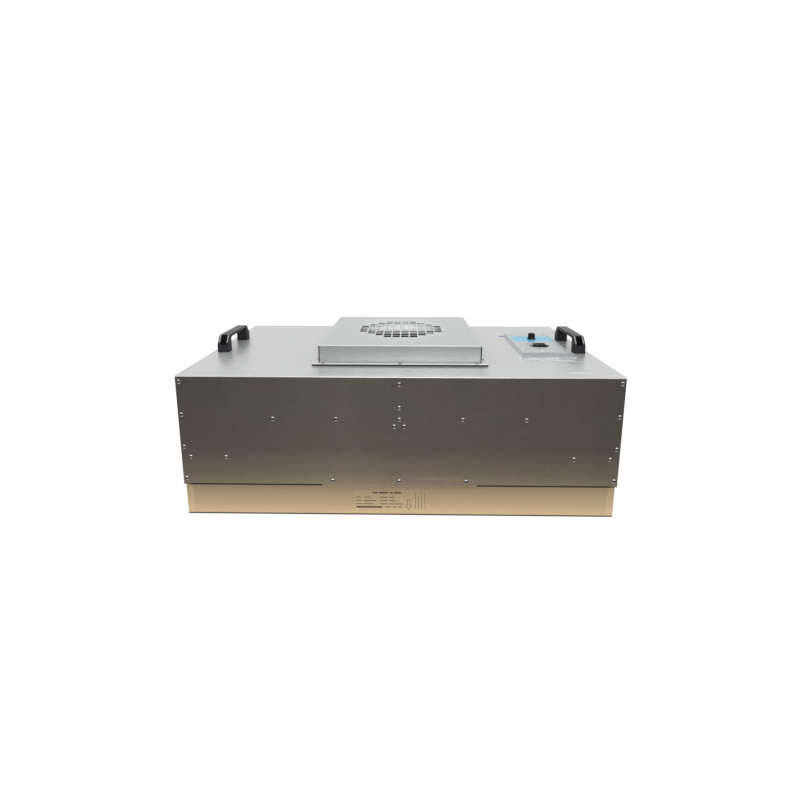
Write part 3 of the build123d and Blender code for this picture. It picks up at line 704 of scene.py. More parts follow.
def handle_plastic():
    """Satin black handle: a painted sheen on top, painted highlights on the rims of its slopes, and
    painted shade in its black pockets.
    """
    finish = settings().finish
    material, tree, shader = new_material("handle_black", Metallic=0.0, Specular_IOR_Level=0.18)
    values = {
        "Colour": finish.handle_black,
        "Rubbed": display(34, 34, 37),
        "Roughness": 0.46,
    }
    grain = use_group(tree, "moulded_grain", values)
    # Painted sheen on faces that look up.
    top = facing_share(tree, low=0.9, high=0.99)
    colour = blend_colour(tree, top, grain.outputs["Colour"], display(92, 92, 90))
    # Painted highlight on the sloping rims.
    steep = maths(
        tree,
        "SUBTRACT",
        facing_share(tree, low=0.4, high=0.6),
        facing_share(tree, low=0.72, high=0.86),
    )
    sides = box_mask(tree, *HANDLE_SLOPES, 1.0)
    rim = maths(tree, "MULTIPLY", steep, sides, clamp=True)
    colour = blend_colour(tree, rim, colour, display(148, 148, 148))
    # Painted shade in the pockets.
    front = box_mask(tree, *HANDLE_FRONT_POCKET)
    lip = box_mask(tree, *HANDLE_FRONT_LIP, 1.0)
    front = maths(tree, "MAXIMUM", front, lip)
    back = box_mask(tree, *HANDLE_BACK_POCKET)
    pocket = maths(tree, "MAXIMUM", front, back)
    colour = blend_colour(tree, pocket, colour, display(6, 6, 6))
    rough = maths(tree, "ADD", grain.outputs["Roughness"], maths(tree, "MULTIPLY", pocket, 0.45))
    feed(tree, shader, {"Base Color": colour, "Roughness": rough})
    bump(tree, shader, grain.outputs["Height"], GRAIN_STRENGTH, FINE_RELIEF)
    return material


def moulded(name, colour, rubbed, roughness, grain_scale=1400.0, gloss=0.35):
    """Moulded plastic with a fine grain."""
    material, tree, shader = new_material(name, Metallic=0.0, Specular_IOR_Level=gloss)
    values = {
        "Colour": colour,
        "Rubbed": rubbed,
        "Roughness": roughness,
        "Grain Scale": grain_scale,
    }
    grain = use_group(tree, "moulded_grain", values)
    values = {
        "Base Color": grain.outputs["Colour"],
        "Roughness": grain.outputs["Roughness"],
    }
    feed(tree, shader, values)
    bump(tree, shader, grain.outputs["Height"], GRAIN_STRENGTH, FINE_RELIEF)
    return material


def plain_metal(name, colour, roughness):
    """Bare metal with a fine grain."""
    material, tree, shader = new_material(name, Metallic=1.0)
    finish_steel(tree, shader, colour, roughness, flake_scale=300.0, flake=0.03)
    return material


def screw_zinc():
    """Zinc-plated screw head, with a painted highlight on the shoulder that looks up, painted shade
    elsewhere, and painted light on the faces that look down.
    """
    material, tree, shader = new_material("screw_zinc", Metallic=0.9, Roughness=0.3)
    # Painted highlight on the shoulder, over a painted shade.
    lit = maths(
        tree,
        "SUBTRACT",
        facing_share(tree, low=0.3, high=0.6),
        facing_share(tree, low=0.85, high=0.97),
    )
    tone = blend_colour(tree, lit, display(70, 67, 62), display(208, 208, 206))
    # Painted light: faces that look down are near white and matt.
    under = facing_share(tree, DOWNWARD, 0.4, 0.6)
    tone = blend_colour(tree, under, tone, display(250, 248, 244))
    metallic = maths(tree, "MULTIPLY", maths(tree, "SUBTRACT", 1.0, under), 0.9)
    feed(tree, shader, {"Base Color": tone, "Metallic": metallic})
    return material


def foam(name, cell, wall):
    """Closed-cell foam gasket."""
    material, tree, shader = new_material(name, Metallic=0.0, Roughness=0.95)
    place = object_place(tree)
    cells = add_node(tree, "ShaderNodeTexVoronoi", {"Vector": place, "Scale": 1100.0})
    tone = blend_colour(tree, cells.outputs["Distance"], cell, wall)
    feed(tree, shader, {"Base Color": tone})
    bump(tree, shader, cells.outputs["Distance"], 0.5, 0.0004)
    return material


def filter_paper():
    """Creased glass-fibre paper."""
    material, tree, shader = new_material("filter_paper", Metallic=0.0, Roughness=0.9)
    place = object_place(tree)
    fibre = noise_of(tree, place, 900.0, 4.0, 0.7)
    tone = blend_colour(tree, fibre, display(226, 226, 219), display(246, 246, 242))
    feed(tree, shader, {"Base Color": tone})
    bump(tree, shader, fibre, 0.3, 0.0003)
    return material


def painted(name, colour):
    """Sprayed paint with a light orange peel and a few dusty clouds."""
    material, tree, shader = new_material(name, Metallic=0.0, Roughness=0.42)
    place = object_place(tree)
    peel = noise_of(tree, place, 420.0, 2.0)
    dust = smooth_step(tree, noise_of(tree, place, 16.0, 4.0, 0.6), 0.45, 0.8)
    darker = tuple(level * 0.86 for level in colour[:3]) + (1.0,)
    tone = blend_colour(tree, dust, tuple(colour), darker)
    feed(tree, shader, {"Base Color": tone})
    bump(tree, shader, peel, 0.06, 0.0003)
    return material


def lid_paint():
    """Grey paint of the control box lid, with a painted shade on its front face and painted light on
    its left face.
    """
    finish = settings().finish
    material = painted("lid_paint", finish.lid_grey)
    tree = material.node_tree
    shader = tree.nodes["Principled BSDF"]
    even = shader.inputs["Base Color"].links[0].from_socket
    # Painted shade on the face that looks forward.
    front = facing_share(tree, FORWARD, 0.5, 0.9)
    tone = blend_colour(tree, front, even, display(164, 168, 170))
    # Painted light on the face that looks left.
    left = facing_share(tree, LEFTWARD, 0.5, 0.9)
    tone = blend_colour(tree, left, tone, display(232, 234, 234))
    feed(tree, shader, {"Base Color": tone})
    return material


def printed(name, colour, roughness=0.35, coat=0.2):
    """Printed vinyl: even ink under a thin clear layer, slightly uneven."""
    material, tree, shader = new_material(
        name, Metallic=0.0, Roughness=roughness, Coat_Weight=coat, Coat_Roughness=0.15
    )
    place = object_place(tree)
    cloud = noise_of(tree, place, 60.0, 3.0)
    darker = tuple(level * 0.9 for level in colour[:3]) + (1.0,)
    tone = blend_colour(tree, cloud, darker, tuple(colour))
    feed(tree, shader, {"Base Color": tone})
    ripple = noise_of(tree, place, 120.0, 2.0)
    bump(tree, shader, ripple, 0.08, 0.0004)
    return material


def clear_film():
    """Thin crumpled clear tape."""
    material, tree, shader = new_material(
        "clear_film", Metallic=0.0, Roughness=0.12, Coat_Weight=0.6, Coat_Roughness=0.08
    )
    place = object_place(tree)
    crease = noise_of(tree, place, 70.0, 4.0, 0.65)
    sharp = smooth_step(tree, crease, 0.5, 0.62)
    tone = blend_colour(tree, sharp, display(226, 230, 234), display(246, 249, 252))
    alpha = maths(tree, "ADD", maths(tree, "MULTIPLY", sharp, 0.26), 0.07)
    feed(tree, shader, {"Base Color": tone, "Alpha": alpha})
    bump(tree, shader, crease, 0.6, 0.002)
    return material


FINISHES = {
    "casing_steel": ("casing_shell", "end_panel_left", "end_panel_right"),
    "cowl_steel": ("intake_cowl",),
    "inner_steel": (
        "sill_front",
        "sill_back",
        "motor_plate",
        "strut_front",
        "strut_back",
        "gusset_front",
        "gusset_back",
        "deflector_left",
        "deflector_right",
        "control_tray",
    ),
    "anodised_frame": (
        "filter_frame_left",
        "filter_frame_right",
        "filter_frame_front",
        "filter_frame_back",
    ),
    "inlet_black": ("inlet_ring",),
    "fan_aluminium": ("impeller",),
    "motor_black": ("motor_rotor", "motor_stator"),
    "ground_steel": (
        "motor_shaft",
        "bearing_lower",
        "bearing_upper",
        "stator_core",
        "controller_stem",
    ),
    "bright_zinc": ("controller_nut", "handle_bolts", "handle_nuts"),
    "pin_brass": ("inlet_pins",),
    "drawn_aluminium": ("run_capacitor",),
    "terminal_cream": ("terminal_block",),
    "fitting_black": ("speed_controller", "power_inlet", "speed_dial"),
    "handle_black": ("handle_left", "handle_right"),
    "lid_paint": ("control_lid",),
    "foam_strip": ("cowl_gasket", "grid_gasket"),
    "seal_foam": ("seal_gasket",),
    "filter_paper": ("filter_media",),
    "guard_white": ("face_guard",),
}


# Colour and rubbed colour as display levels, then roughness, grain scale and gloss.
MOULDINGS = {
    # The inlet ring is black moulding, also made near black and almost glossless as painted shade in
    # the air opening.
    "inlet_black": ((12, 12, 12), (22, 22, 22), 0.9, 1400.0, 0.02),
    "motor_black": ((34, 34, 36), (60, 60, 62), 0.5, 500.0, 0.35),
    "terminal_cream": ((228, 224, 208), (206, 200, 182), 0.35, 1400.0, 0.35),
}

# Colour as display levels, and roughness.
METALS = {
    "fan_aluminium": ((196, 198, 200), 0.35),
    "ground_steel": ((170, 172, 174), 0.28),
    "bright_zinc": ((214, 216, 218), 0.22),
    "pin_brass": ((206, 176, 108), 0.25),
    "drawn_aluminium": ((200, 202, 204), 0.3),
}


class FANUNIT_OT_finishes(Operator):
    """Make the unit's materials and give each part of the frame its own"""

    bl_idname = "fan_unit.finishes"
    bl_label = "Finishes"

    def execute(self, context):
        finish = settings().finish
        for make in (
            galvanised_group,
            height_group,
            facing_group,
            box_group,
            moulded_group,
            casing_steel,
            cowl_steel,
            inner_steel,
            anodised_frame,
            frame_label,
            handle_plastic,
            filter_paper,
            clear_film,
            screw_zinc,
            lid_paint,
        ):
            make()
        foam("foam_strip", display(74, 66, 58), display(40, 36, 33))
        foam("seal_foam", display(26, 16, 10), display(16, 10, 6))
        for name, (colour, rubbed, roughness, grain, gloss) in MOULDINGS.items():
            moulded(name, display(*colour), display(*rubbed), roughness, grain, gloss)
        moulded("fitting_black", finish.fitting_black, display(24, 25, 24), 0.42, gloss=0.2)
        for name, (colour, roughness) in METALS.items():
            plain_metal(name, display(*colour), roughness)
        painted("guard_white", display(236, 236, 232))
        printed("label_blue", finish.label_blue)
        printed("label_ink", finish.label_ink, 0.5, 0.0)
        printed("dial_white", display(236, 238, 240), 0.4, 0.1)
        printed("sticker_violet", finish.sticker_violet)
        printed("tape_white", display(240, 243, 245), 0.3, 0.3)
        for name, nodes in FINISHES.items():
            for node in nodes:
                dress(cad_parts[node], bpy.data.materials[name])
        return {"FINISHED"}


def dress(thing, material):
    """Gives every slot of an object the same material."""
    if thing.material_slots:
        for held in thing.material_slots:
            held.material = material
    else:
        thing.data.materials.append(material)


# --- Mesh helpers -------------------------------------------------------------------


def linked(name, data):
    """A new object in the scene."""
    thing = bpy.data.objects.new(name, data)
    bpy.context.scene.collection.objects.link(thing)
    return thing


def show(mesh, name, material_name, body="casing"):
    """Puts a finished mesh in the scene as a piece that rides on a body."""
    thing = linked(name, mesh)
    mesh.name = name
    if not mesh.materials:
        mesh.materials.append(bpy.data.materials[material_name])
    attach(thing, body)
    return thing


def baked(thing):
    """The evaluated mesh of a helper object, which is then removed."""
    bpy.context.view_layer.update()
    graph = bpy.context.evaluated_depsgraph_get()
    mesh = bpy.data.meshes.new_from_object(thing.evaluated_get(graph))
    bpy.data.objects.remove(thing)
    return mesh


def grown(name, mesh, tree, values):
    """The mesh that geometry nodes make from another, with their inputs filled in by name."""
    holder = linked(name, mesh)
    modifier = holder.modifiers.new(name, "NODES")
    modifier.node_group = tree
    for item in tree.interface.items_tree:
        if item.in_out == "INPUT" and item.name in values:
            modifier[item.identifier] = values[item.name]
    return baked(holder)


def softened(node, width, name):
    """A copy of a frame part with its long edges rounded off, which stands for that part."""
    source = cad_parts[node]
    mesh = source.data.copy()
    shape = bmesh.new()
    shape.from_mesh(mesh)
    bmesh.ops.remove_doubles(shape, verts=shape.verts, dist=0.02 * MM)
    bmesh.ops.dissolve_limit(
        shape, angle_limit=math.radians(1.0), verts=shape.verts, edges=shape.edges
    )
    shape.to_mesh(mesh)
    shape.free()
    thing = linked(name, mesh)
    bevel = thing.modifiers.new("edges", "BEVEL")
    bevel.width = width
    bevel.segments = 3
    bevel.limit_method = "ANGLE"
    bevel.angle_limit = math.radians(30.0)
    bevel.harden_normals = False
    finished = baked(thing)
    finished.shade_smooth()
    finished.set_sharp_from_angle(angle=math.radians(45.0))
    materials = [held.material for held in source.material_slots]
    finished.materials.clear()
    for material in materials:
        finished.materials.append(material)
    piece = show(finished, name, None)
    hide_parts(node)
    return piece


def mesh_from(points, faces):
    """A closed mesh with its faces turned outward."""
    mesh = bpy.data.meshes.new("closed")
    mesh.from_pydata([tuple(point) for point in points], [], faces)
    mesh.validate()
    shape = bmesh.new()
    shape.from_mesh(mesh)
    bmesh.ops.recalc_face_normals(shape, faces=shape.faces)
    shape.to_mesh(mesh)
    shape.free()
    return mesh


def slab(outline, across, along, outward, thickness, start):
    """Points and faces of a flat plate: outline is in the plane of across and along."""
    lift = outward * thickness
    base = [start + across * u + along * v for u, v in outline]
    points = base + [point + lift for point in base]
    count = len(outline)
    faces = [tuple(reversed(range(count))), tuple(range(count, 2 * count))]
    for index in range(count):
        following = (index + 1) % count
        faces.append((index, following, following + count, index + count))
    return points, faces


def plates(outlines, across, along, outward, thickness, start):
    """One mesh of several flat plates that share a plane. Outlines are in millimetres."""
    points, faces = [], []
    for outline in outlines:
        offset = len(points)
        scaled = [(u * MM, v * MM) for u, v in outline]
        more, sides = slab(scaled, across, along, outward, thickness, start)
        points += more
        faces += [tuple(index + offset for index in side) for side in sides]
    return mesh_from(points, faces)


def rectangle(left, right, bottom, top):
    """Outline of a rectangle."""
    return [(left, bottom), (right, bottom), (right, top), (left, top)]


def rounded(left, right, bottom, top, radius, steps=5):
    """A rectangle with rounded corners."""
    corners = (
        (right - radius, bottom + radius, -90),
        (right - radius, top - radius, 0),
        (left + radius, top - radius, 90),
        (left + radius, bottom + radius, 180),
    )
    outline = []
    for centre_u, centre_v, first in corners:
        for step in range(steps + 1):
            angle = math.radians(first + 90 * step / steps)
            outline.append(
                (centre_u + radius * math.cos(angle), centre_v + radius * math.sin(angle))
            )
    return outline


RIGHT, BACK, UP = Vector((1, 0, 0)), Vector((0, 1, 0)), Vector((0, 0, 1))


def on_top(outlines, level, thickness):
    """Plates that lie on a level surface, with outlines of X and Y."""
    return plates(outlines, RIGHT, BACK, UP, thickness, Vector((0, 0, level)))


def on_front(outlines, face, thickness):
    """Plates on a front face, with outlines of X and Z."""
    return plates(outlines, RIGHT, UP, -BACK, thickness, Vector((0, face, 0)))


# --- Geometry node helpers ----------------------------------------------------------


def geometry_tree(name, lengths, counts):
    """Geometry nodes with the named lengths, counts and a material as inputs."""
    tree = bpy.data.node_groups.new(name, "GeometryNodeTree")
    inputs = [("Geometry", "NodeSocketGeometry")]
    inputs += [(label, "NodeSocketFloat") for label in lengths]
    inputs += [(label, "NodeSocketInt") for label in counts]
    inputs.append(("Material", "NodeSocketMaterial"))
    for label, kind in inputs:
        tree.interface.new_socket(label, in_out="INPUT", socket_type=kind)
    tree.interface.new_socket("Geometry", in_out="OUTPUT", socket_type="NodeSocketGeometry")
    return tree, tree.nodes.new("NodeGroupInput"), tree.nodes.new("NodeGroupOutput")


def vector_of(tree, x=0.0, y=0.0, z=0.0):
    """A vector of three values or sockets."""
    return add_node(tree, "ShaderNodeCombineXYZ", {0: x, 1: y, 2: z}).outputs[0]


def transformed(tree, geometry, **values):
    """Geometry moved, turned or scaled."""
    values["Geometry"] = geometry
    return add_node(tree, "GeometryNodeTransform", values).outputs["Geometry"]


def make_real(tree, instances, entry, result):
    """Ends a tree: its instances become plain geometry of the given material."""
    real = add_node(tree, "GeometryNodeRealizeInstances", {"Geometry": instances})
    values = {"Geometry": real.outputs["Geometry"], "Material": entry.outputs["Material"]}
    coated = add_node(tree, "GeometryNodeSetMaterial", values)
    feed(tree, result, {"Geometry": coated.outputs["Geometry"]})
    return tree


# --- Screws -------------------------------------------------------------------------


def screw_tree():
    """Geometry nodes: a pan head with a cross recess on each point, turned at random."""
    lengths = ("Head Radius", "Head Height", "Recess Length", "Recess Width")
    tree, entry, result = geometry_tree("pan_head_screws", lengths, ("Seed",))
    radius, height = entry.outputs["Head Radius"], entry.outputs["Head Height"]
    ball = add_node(tree, "GeometryNodeMeshUVSphere", {"Segments": 20, "Rings": 12, "Radius": 1.0})
    reach = maths(tree, "MULTIPLY", radius, 1.04)
    scale = vector_of(tree, reach, reach, maths(tree, "MULTIPLY", height, 1.3))
    sink = vector_of(tree, z=maths(tree, "MULTIPLY", height, -0.3))
    dome = transformed(tree, ball.outputs["Mesh"], Scale=scale, Translation=sink)
    cutters = []
    recess_depth = maths(tree, "MULTIPLY", height, 1.2)
    for first, second in (("Recess Length", "Recess Width"), ("Recess Width", "Recess Length")):
        size = vector_of(tree, entry.outputs[first], entry.outputs[second], recess_depth)
        bar = add_node(tree, "GeometryNodeMeshCube", {"Size": size})
        lift = vector_of(tree, z=height)
        cutters.append(transformed(tree, bar.outputs["Mesh"], Translation=lift))
    under = add_node(tree, "GeometryNodeMeshCube", {"Size": (0.1, 0.1, 0.1)})
    cutters.append(transformed(tree, under.outputs["Mesh"], Translation=(0.0, 0.0, -0.05)))
    cut = add_node(tree, "GeometryNodeMeshBoolean", {"Mesh 1": dome}, operation="DIFFERENCE")
    for cutter in cutters:
        tree.links.new(cutter, cut.inputs["Mesh 2"])
    facing = add_node(
        tree, "GeometryNodeInputNamedAttribute", {"Name": "facing"}, data_type="FLOAT_VECTOR"
    )
    aligned = add_node(
        tree,
        "FunctionNodeAlignRotationToVector",
        {"Vector": facing.outputs["Attribute"]},
        axis="Z",
    )
    placed = add_node(
        tree,
        "GeometryNodeInstanceOnPoints",
        {
            "Points": entry.outputs["Geometry"],
            "Instance": cut.outputs["Mesh"],
            "Rotation": aligned.outputs["Rotation"],
        },
    )
    turn = add_node(
        tree,
        "FunctionNodeRandomValue",
        {"Min": 0.0, "Max": math.pi, "Seed": entry.outputs["Seed"]},
        data_type="FLOAT",
    )
    turn_value = next(socket for socket in turn.outputs if socket.enabled)
    values = {
        "Instances": placed.outputs["Instances"],
        "Rotation": vector_of(tree, z=turn_value),
        "Local Space": True,
    }
    turned = add_node(tree, "GeometryNodeRotateInstances", values)
    return make_real(tree, turned.outputs["Instances"], entry, result)


def ring(radius, count, turn=0.0):
    """Points evenly spaced on a circle."""
    angles = [math.radians(turn + 360 * index / count) for index in range(count)]
    return [(radius * math.cos(angle), radius * math.sin(angle)) for angle in angles]


def wall_screw_places():
    """Places of the screws on a long wall, as millimetres of X and Z."""
    places = [(side * 480.0, 90.0 + 75.5 * step) for side in (-1, 1) for step in range(4)]
    places += [(139.25 * place, 232.6) for place in range(-2, 3)]
    places += [(0.0, 312.8), (0.0, 259.6), (-11.0, 216.1), (11.0, 216.1)]
    places += [(150.0 * place, 86.0) for place in (-1, 0, 1)]
    places += [(side * place, 141.5) for side in (-1, 1) for place in (387.5, 467.0)]
    return places


def fit_screws(name, points, facings, body, scale=1.0):
    """Pan head screws on points that look along their facings, as one plain mesh."""
    sizes = settings().screws
    mesh = bpy.data.meshes.new(name)
    mesh.from_pydata([tuple(point) for point in points], [], [])
    attribute = mesh.attributes.new("facing", "FLOAT_VECTOR", "POINT")
    for index, facing in enumerate(facings):
        attribute.data[index].vector = facing
    tree = bpy.data.node_groups.get("pan_head_screws") or screw_tree()
    values = {
        "Head Radius": sizes.head_radius * scale,
        "Head Height": sizes.head_height * scale,
        "Recess Length": sizes.recess_length * scale,
        "Recess Width": sizes.recess_width * scale,
        "Seed": sizes.seed,
        "Material": bpy.data.materials["screw_zinc"],
    }
    finished = grown(name, mesh, tree, values)
    finished.shade_smooth()
    finished.set_sharp_from_angle(angle=math.radians(35.0))
    return show(finished, name, "screw_zinc", body)


class FANUNIT_OT_screws(Operator):
    """Fit the pan head screws on the walls, the cowl, the lid, the inlet and the fan"""

    bl_idname = "fan_unit.screws"
    bl_label = "Screws"

    def execute(self, context):
        places = wall_screw_places()
        front = [(x * MM, -WALL_FACE, z * MM) for x, z in places]
        back = [(x * MM, WALL_FACE, z * MM) for x, z in places]
        fit_screws("front_wall_screws", front, [(0, -1, 0)] * len(front), "casing")
        fit_screws("back_wall_screws", back, [(0, 1, 0)] * len(back), "casing")
        flange_top = COWL_LOW.z + 1.2 * MM
        cowl = [(180.0 * place, -202.2) for place in (-1, 0, 1)]
        cowl += [(180.0 * place, 199.0) for place in (-1, 0, 1)]
        cowl += [(199.0 * side, 163.0 * place) for place in (-1, 0, 1) for side in (-1, 1)]
        lid = [(370 + side * 47.5, 17.5 + end * 97.5) for side in (-1, 1) for end in (-1, 1)]
        bell = ring(160.0, 8, 22.5)
        inlet = (INLET_LOW + INLET_HIGH) / 2 / MM
        ears = [(inlet.x - 20.0, inlet.y), (inlet.x + 20.0, inlet.y)]
        groups = (
            ("cowl_screws", cowl, flange_top, 1.0, "casing"),
            ("lid_screws", lid, LID_HIGH.z, 0.8, "casing"),
            ("bell_mouth_screws", bell, TOP, 0.9, "casing"),
            ("inlet_screws", ears, LID_HIGH.z + 2.6 * MM, 0.7, "casing"),
            ("hub_screws", ring(55.5, 6), HUB_LOW.z + 6.5 * MM, 0.9, "fan"),
        )
        for name, spots, level, scale, body in groups:
            points = [(x * MM, y * MM, level) for x, y in spots]
            fit_screws(name, points, [(0, 0, 1)] * len(points), body, scale)
        under = [(x * MM, y * MM, PLATE_LOW.z) for x, y in ring(36.0, 4, 45.0)]
        fit_screws("motor_screws", under, [(0, 0, -1)] * len(under), "casing")
        return {"FINISHED"}


# --- Guard mesh ---------------------------------------------------------------------


def guard_tree():
    """Geometry nodes: a grid of crossed strands that makes diamond openings."""
    lengths = ("Cell Width", "Cell Depth", "Strand", "Thickness")
    tree, entry, result = geometry_tree("diamond_guard", lengths, ("Columns", "Rows"))
    width, depth = entry.outputs["Cell Width"], entry.outputs["Cell Depth"]
    span_x = maths(tree, "MULTIPLY", width, maths(tree, "SUBTRACT", entry.outputs["Columns"], 1.0))
    span_y = maths(tree, "MULTIPLY", depth, maths(tree, "SUBTRACT", entry.outputs["Rows"], 1.0))
    grid = add_node(
        tree,
        "GeometryNodeMeshGrid",
        {
            "Size X": span_x,
            "Size Y": span_y,
            "Vertices X": entry.outputs["Columns"],
            "Vertices Y": entry.outputs["Rows"],
        },
    )
    slope = add_node(tree, "ShaderNodeMath", {0: depth, 1: width}, operation="ARCTAN2").outputs[0]
    squares = maths(tree, "ADD", maths(tree, "POWER", width, 2.0), maths(tree, "POWER", depth, 2.0))
    length = maths(tree, "SQRT", squares)
    size = vector_of(tree, length, entry.outputs["Strand"], entry.outputs["Thickness"])
    join = add_node(tree, "GeometryNodeJoinGeometry")
    for sign in (1.0, -1.0):
        bar = add_node(tree, "GeometryNodeMeshCube", {"Size": size})
        turn = vector_of(tree, z=maths(tree, "MULTIPLY", slope, sign))
        laid = transformed(tree, bar.outputs["Mesh"], Rotation=turn)
        tree.links.new(laid, join.inputs[0])
    placed = add_node(
        tree,
        "GeometryNodeInstanceOnPoints",
        {"Points": grid.outputs["Mesh"], "Instance": join.outputs[0]},
    )
    return make_real(tree, placed.outputs["Instances"], entry, result)


class FANUNIT_OT_guard(Operator):
    """Lay the fine diamond mesh under the filter pleats"""

    bl_idname = "fan_unit.guard"
    bl_label = "Face guard"

    def execute(self, context):
        sizes = settings().guard
        thickness = (GUARD_HIGH.z - GUARD_LOW.z) * 0.9
        columns = int((GUARD_HIGH.x - GUARD_LOW.x) / sizes.cell_width)
        rows = int((GUARD_HIGH.y - GUARD_LOW.y) / sizes.cell_depth)
        values = {
            "Cell Width": (GUARD_HIGH.x - GUARD_LOW.x - 2 * MM) / columns,
            "Cell Depth": (GUARD_HIGH.y - GUARD_LOW.y - 2 * MM) / rows,
            "Strand": sizes.strand,
            "Thickness": thickness,
            "Columns": columns,
            "Rows": rows,
            "Material": bpy.data.materials["guard_white"],
        }
        mesh = grown("guard", bpy.data.meshes.new("guard"), guard_tree(), values)
        mesh.transform(Matrix.Translation((0, 0, (GUARD_LOW.z + GUARD_HIGH.z) / 2)))
        piece = show(mesh, "diamond_guard", "guard_white", "casing")
        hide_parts("face_guard")
        return {"FINISHED"}


# --- Handles, lid and dial ----------------------------------------------------------


class FANUNIT_OT_mouldings(Operator):
    """Round off the edges of the handles and the power inlet"""

    bl_idname = "fan_unit.mouldings"
    bl_label = "Handles and inlet"

    def execute(self, context):
        for side in ("left", "right"):
            piece = softened(f"handle_{side}", 1.1 * MM, f"moulded_handle_{side}")
        piece = softened("power_inlet", 0.4 * MM, "moulded_power_inlet")
        return {"FINISHED"}


def fluted_dial():
    """A skirted knob with a fluted grip, turned about its own axis."""
    centre = (DIAL_LOW + DIAL_HIGH) / 2
    low, high = DIAL_LOW.z, DIAL_HIGH.z
    rise_to = (high - low) / MM
    profile = (
        (11.0, 0.0, 0.0),
        (11.0, 1.6, 0.0),
        (10.6, 2.3, 0.0),
        (9.9, 3.2, 0.3),
        (9.7, 3.8, 1.0),
        (9.5, 9.0, 1.0),
        (9.3, rise_to - 2.0, 1.0),
        (9.0, rise_to - 0.9, 0.8),
        (8.4, rise_to - 0.3, 0.2),
        (7.6, rise_to, 0.0),
        (0.6, rise_to, 0.0),
    )
    flutes, segments = 24, 144
    points, faces = [], []
    for radius, rise, share in profile:
        for index in range(segments):
            angle = 2 * math.pi * index / segments
            ripple = 0.45 * share * (0.5 + 0.5 * math.cos(flutes * angle))
            reach = (radius - ripple) * MM
            points.append(
                (
                    centre.x + reach * math.cos(angle),
                    centre.y + reach * math.sin(angle),
                    low + rise * MM,
                )
            )
    for level in range(len(profile) - 1):
        for index in range(segments):
            following = (index + 1) % segments
            first, second = level * segments, (level + 1) * segments
            faces.append((first + index, first + following, second + following, second + index))
    last = (len(profile) - 1) * segments
    faces.append(tuple(last + index for index in range(segments)))
    faces.append(tuple(reversed(range(segments))))
    mesh = mesh_from(points, faces)
    mesh.shade_smooth()
    mesh.set_sharp_from_angle(angle=math.radians(40.0))
    return mesh, centre, high


class FANUNIT_OT_dial(Operator):
    """Make the fluted speed dial and its white index"""

    bl_idname = "fan_unit.dial"
    bl_label = "Speed dial"

    def execute(self, context):
        mesh, centre, high = fluted_dial()
        dial = show(mesh, "fluted_dial", "fitting_black", "dial")
        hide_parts("speed_dial")
        x, y = centre.x / MM, centre.y / MM
        index = [rectangle(x - 0.6, x + 0.6, y - 8.2, y - 1.5)]
        show(on_top(index, high - 0.12 * MM, 0.1 * MM), "dial_index", "dial_white", "dial")
        foot = DIAL_LOW.z / MM
        nose = [rectangle(x - 1.4, x + 1.4, foot + 0.3, foot + 1.5)]
        face = DIAL_LOW.y + 0.1 * MM
        show(on_front(nose, face, 0.2 * MM), "dial_pointer", "bright_zinc", "dial")
        return {"FINISHED"}


# --- Labels and marks ---------------------------------------------------------------


LABEL_THICKNESS = 0.15 * MM
INK_THICKNESS = 0.05 * MM
TAPE_THICKNESS = 0.12 * MM
MARK_THICKNESS = 0.1 * MM
CONTROL_LABEL_LOW = 0.03 * MM
CONTROL_LABEL_HIGH = 0.16 * MM


def control_label():
    """Blue label round the dial, with a round hole for it."""
    centre = (DIAL_LOW + DIAL_HIGH) / 2
    outer = [(317.0, 22.0), (419.0, 22.0), (427.0, 42.0), (428.5, 93.5), (317.0, 95.0)]
    shape = bmesh.new()
    hole_radius, steps = 7.2 * MM, 40
    rings = []
    for lift in (CONTROL_LABEL_LOW, CONTROL_LABEL_HIGH):
        z = LID_HIGH.z + lift
        rim = [shape.verts.new((x * MM, y * MM, z)) for x, y in outer]
        hole = ring(hole_radius, steps)
        bore = [shape.verts.new((centre.x + x, centre.y + y, z)) for x, y in hole]
        edges = [
            shape.edges.new((loop[index - 1], loop[index]))
            for loop in (rim, bore)
            for index in range(len(loop))
        ]
        bmesh.ops.triangle_fill(shape, edges=edges, use_beauty=True)
        rings.append((rim, bore))
    for low, high in zip(*rings):
        for index in range(len(low)):
            shape.faces.new((low[index - 1], low[index], high[index], high[index - 1]))
    bmesh.ops.recalc_face_normals(shape, faces=shape.faces)
    mesh = bpy.data.meshes.new("control_label")
    shape.to_mesh(mesh)
    shape.free()
    return mesh


def strip(start, end, half):
    """Outline of a straight strip between two points, with half its width on each side."""
    (start_x, start_y), (end_x, end_y) = start, end
    length = math.hypot(end_x - start_x, end_y - start_y)
    side_x, side_y = -(end_y - start_y) / length * half, (end_x - start_x) / length * half
    return [
        (start_x - side_x, start_y - side_y),
        (end_x - side_x, end_y - side_y),
        (end_x + side_x, end_y + side_y),
        (start_x + side_x, start_y + side_y),
    ]


def scale_marks():
    """Ticks round the dial and a thin stepped rule behind it."""
    centre = (DIAL_LOW + DIAL_HIGH) / 2
    x, y = centre.x / MM, centre.y / MM
    marks = [
        rectangle(331.0, 398.0, y + 15.6, y + 17.0),
        rectangle(346.0, 360.0, y + 14.2, y + 15.7),
    ]
    for tick in range(11):
        angle = math.radians(-90 - 30 * tick)
        ends = [(x + reach * math.cos(angle), y + reach * math.sin(angle)) for reach in (12.6, 15.4)]
        marks.append(strip(*ends, 0.35))
    return marks


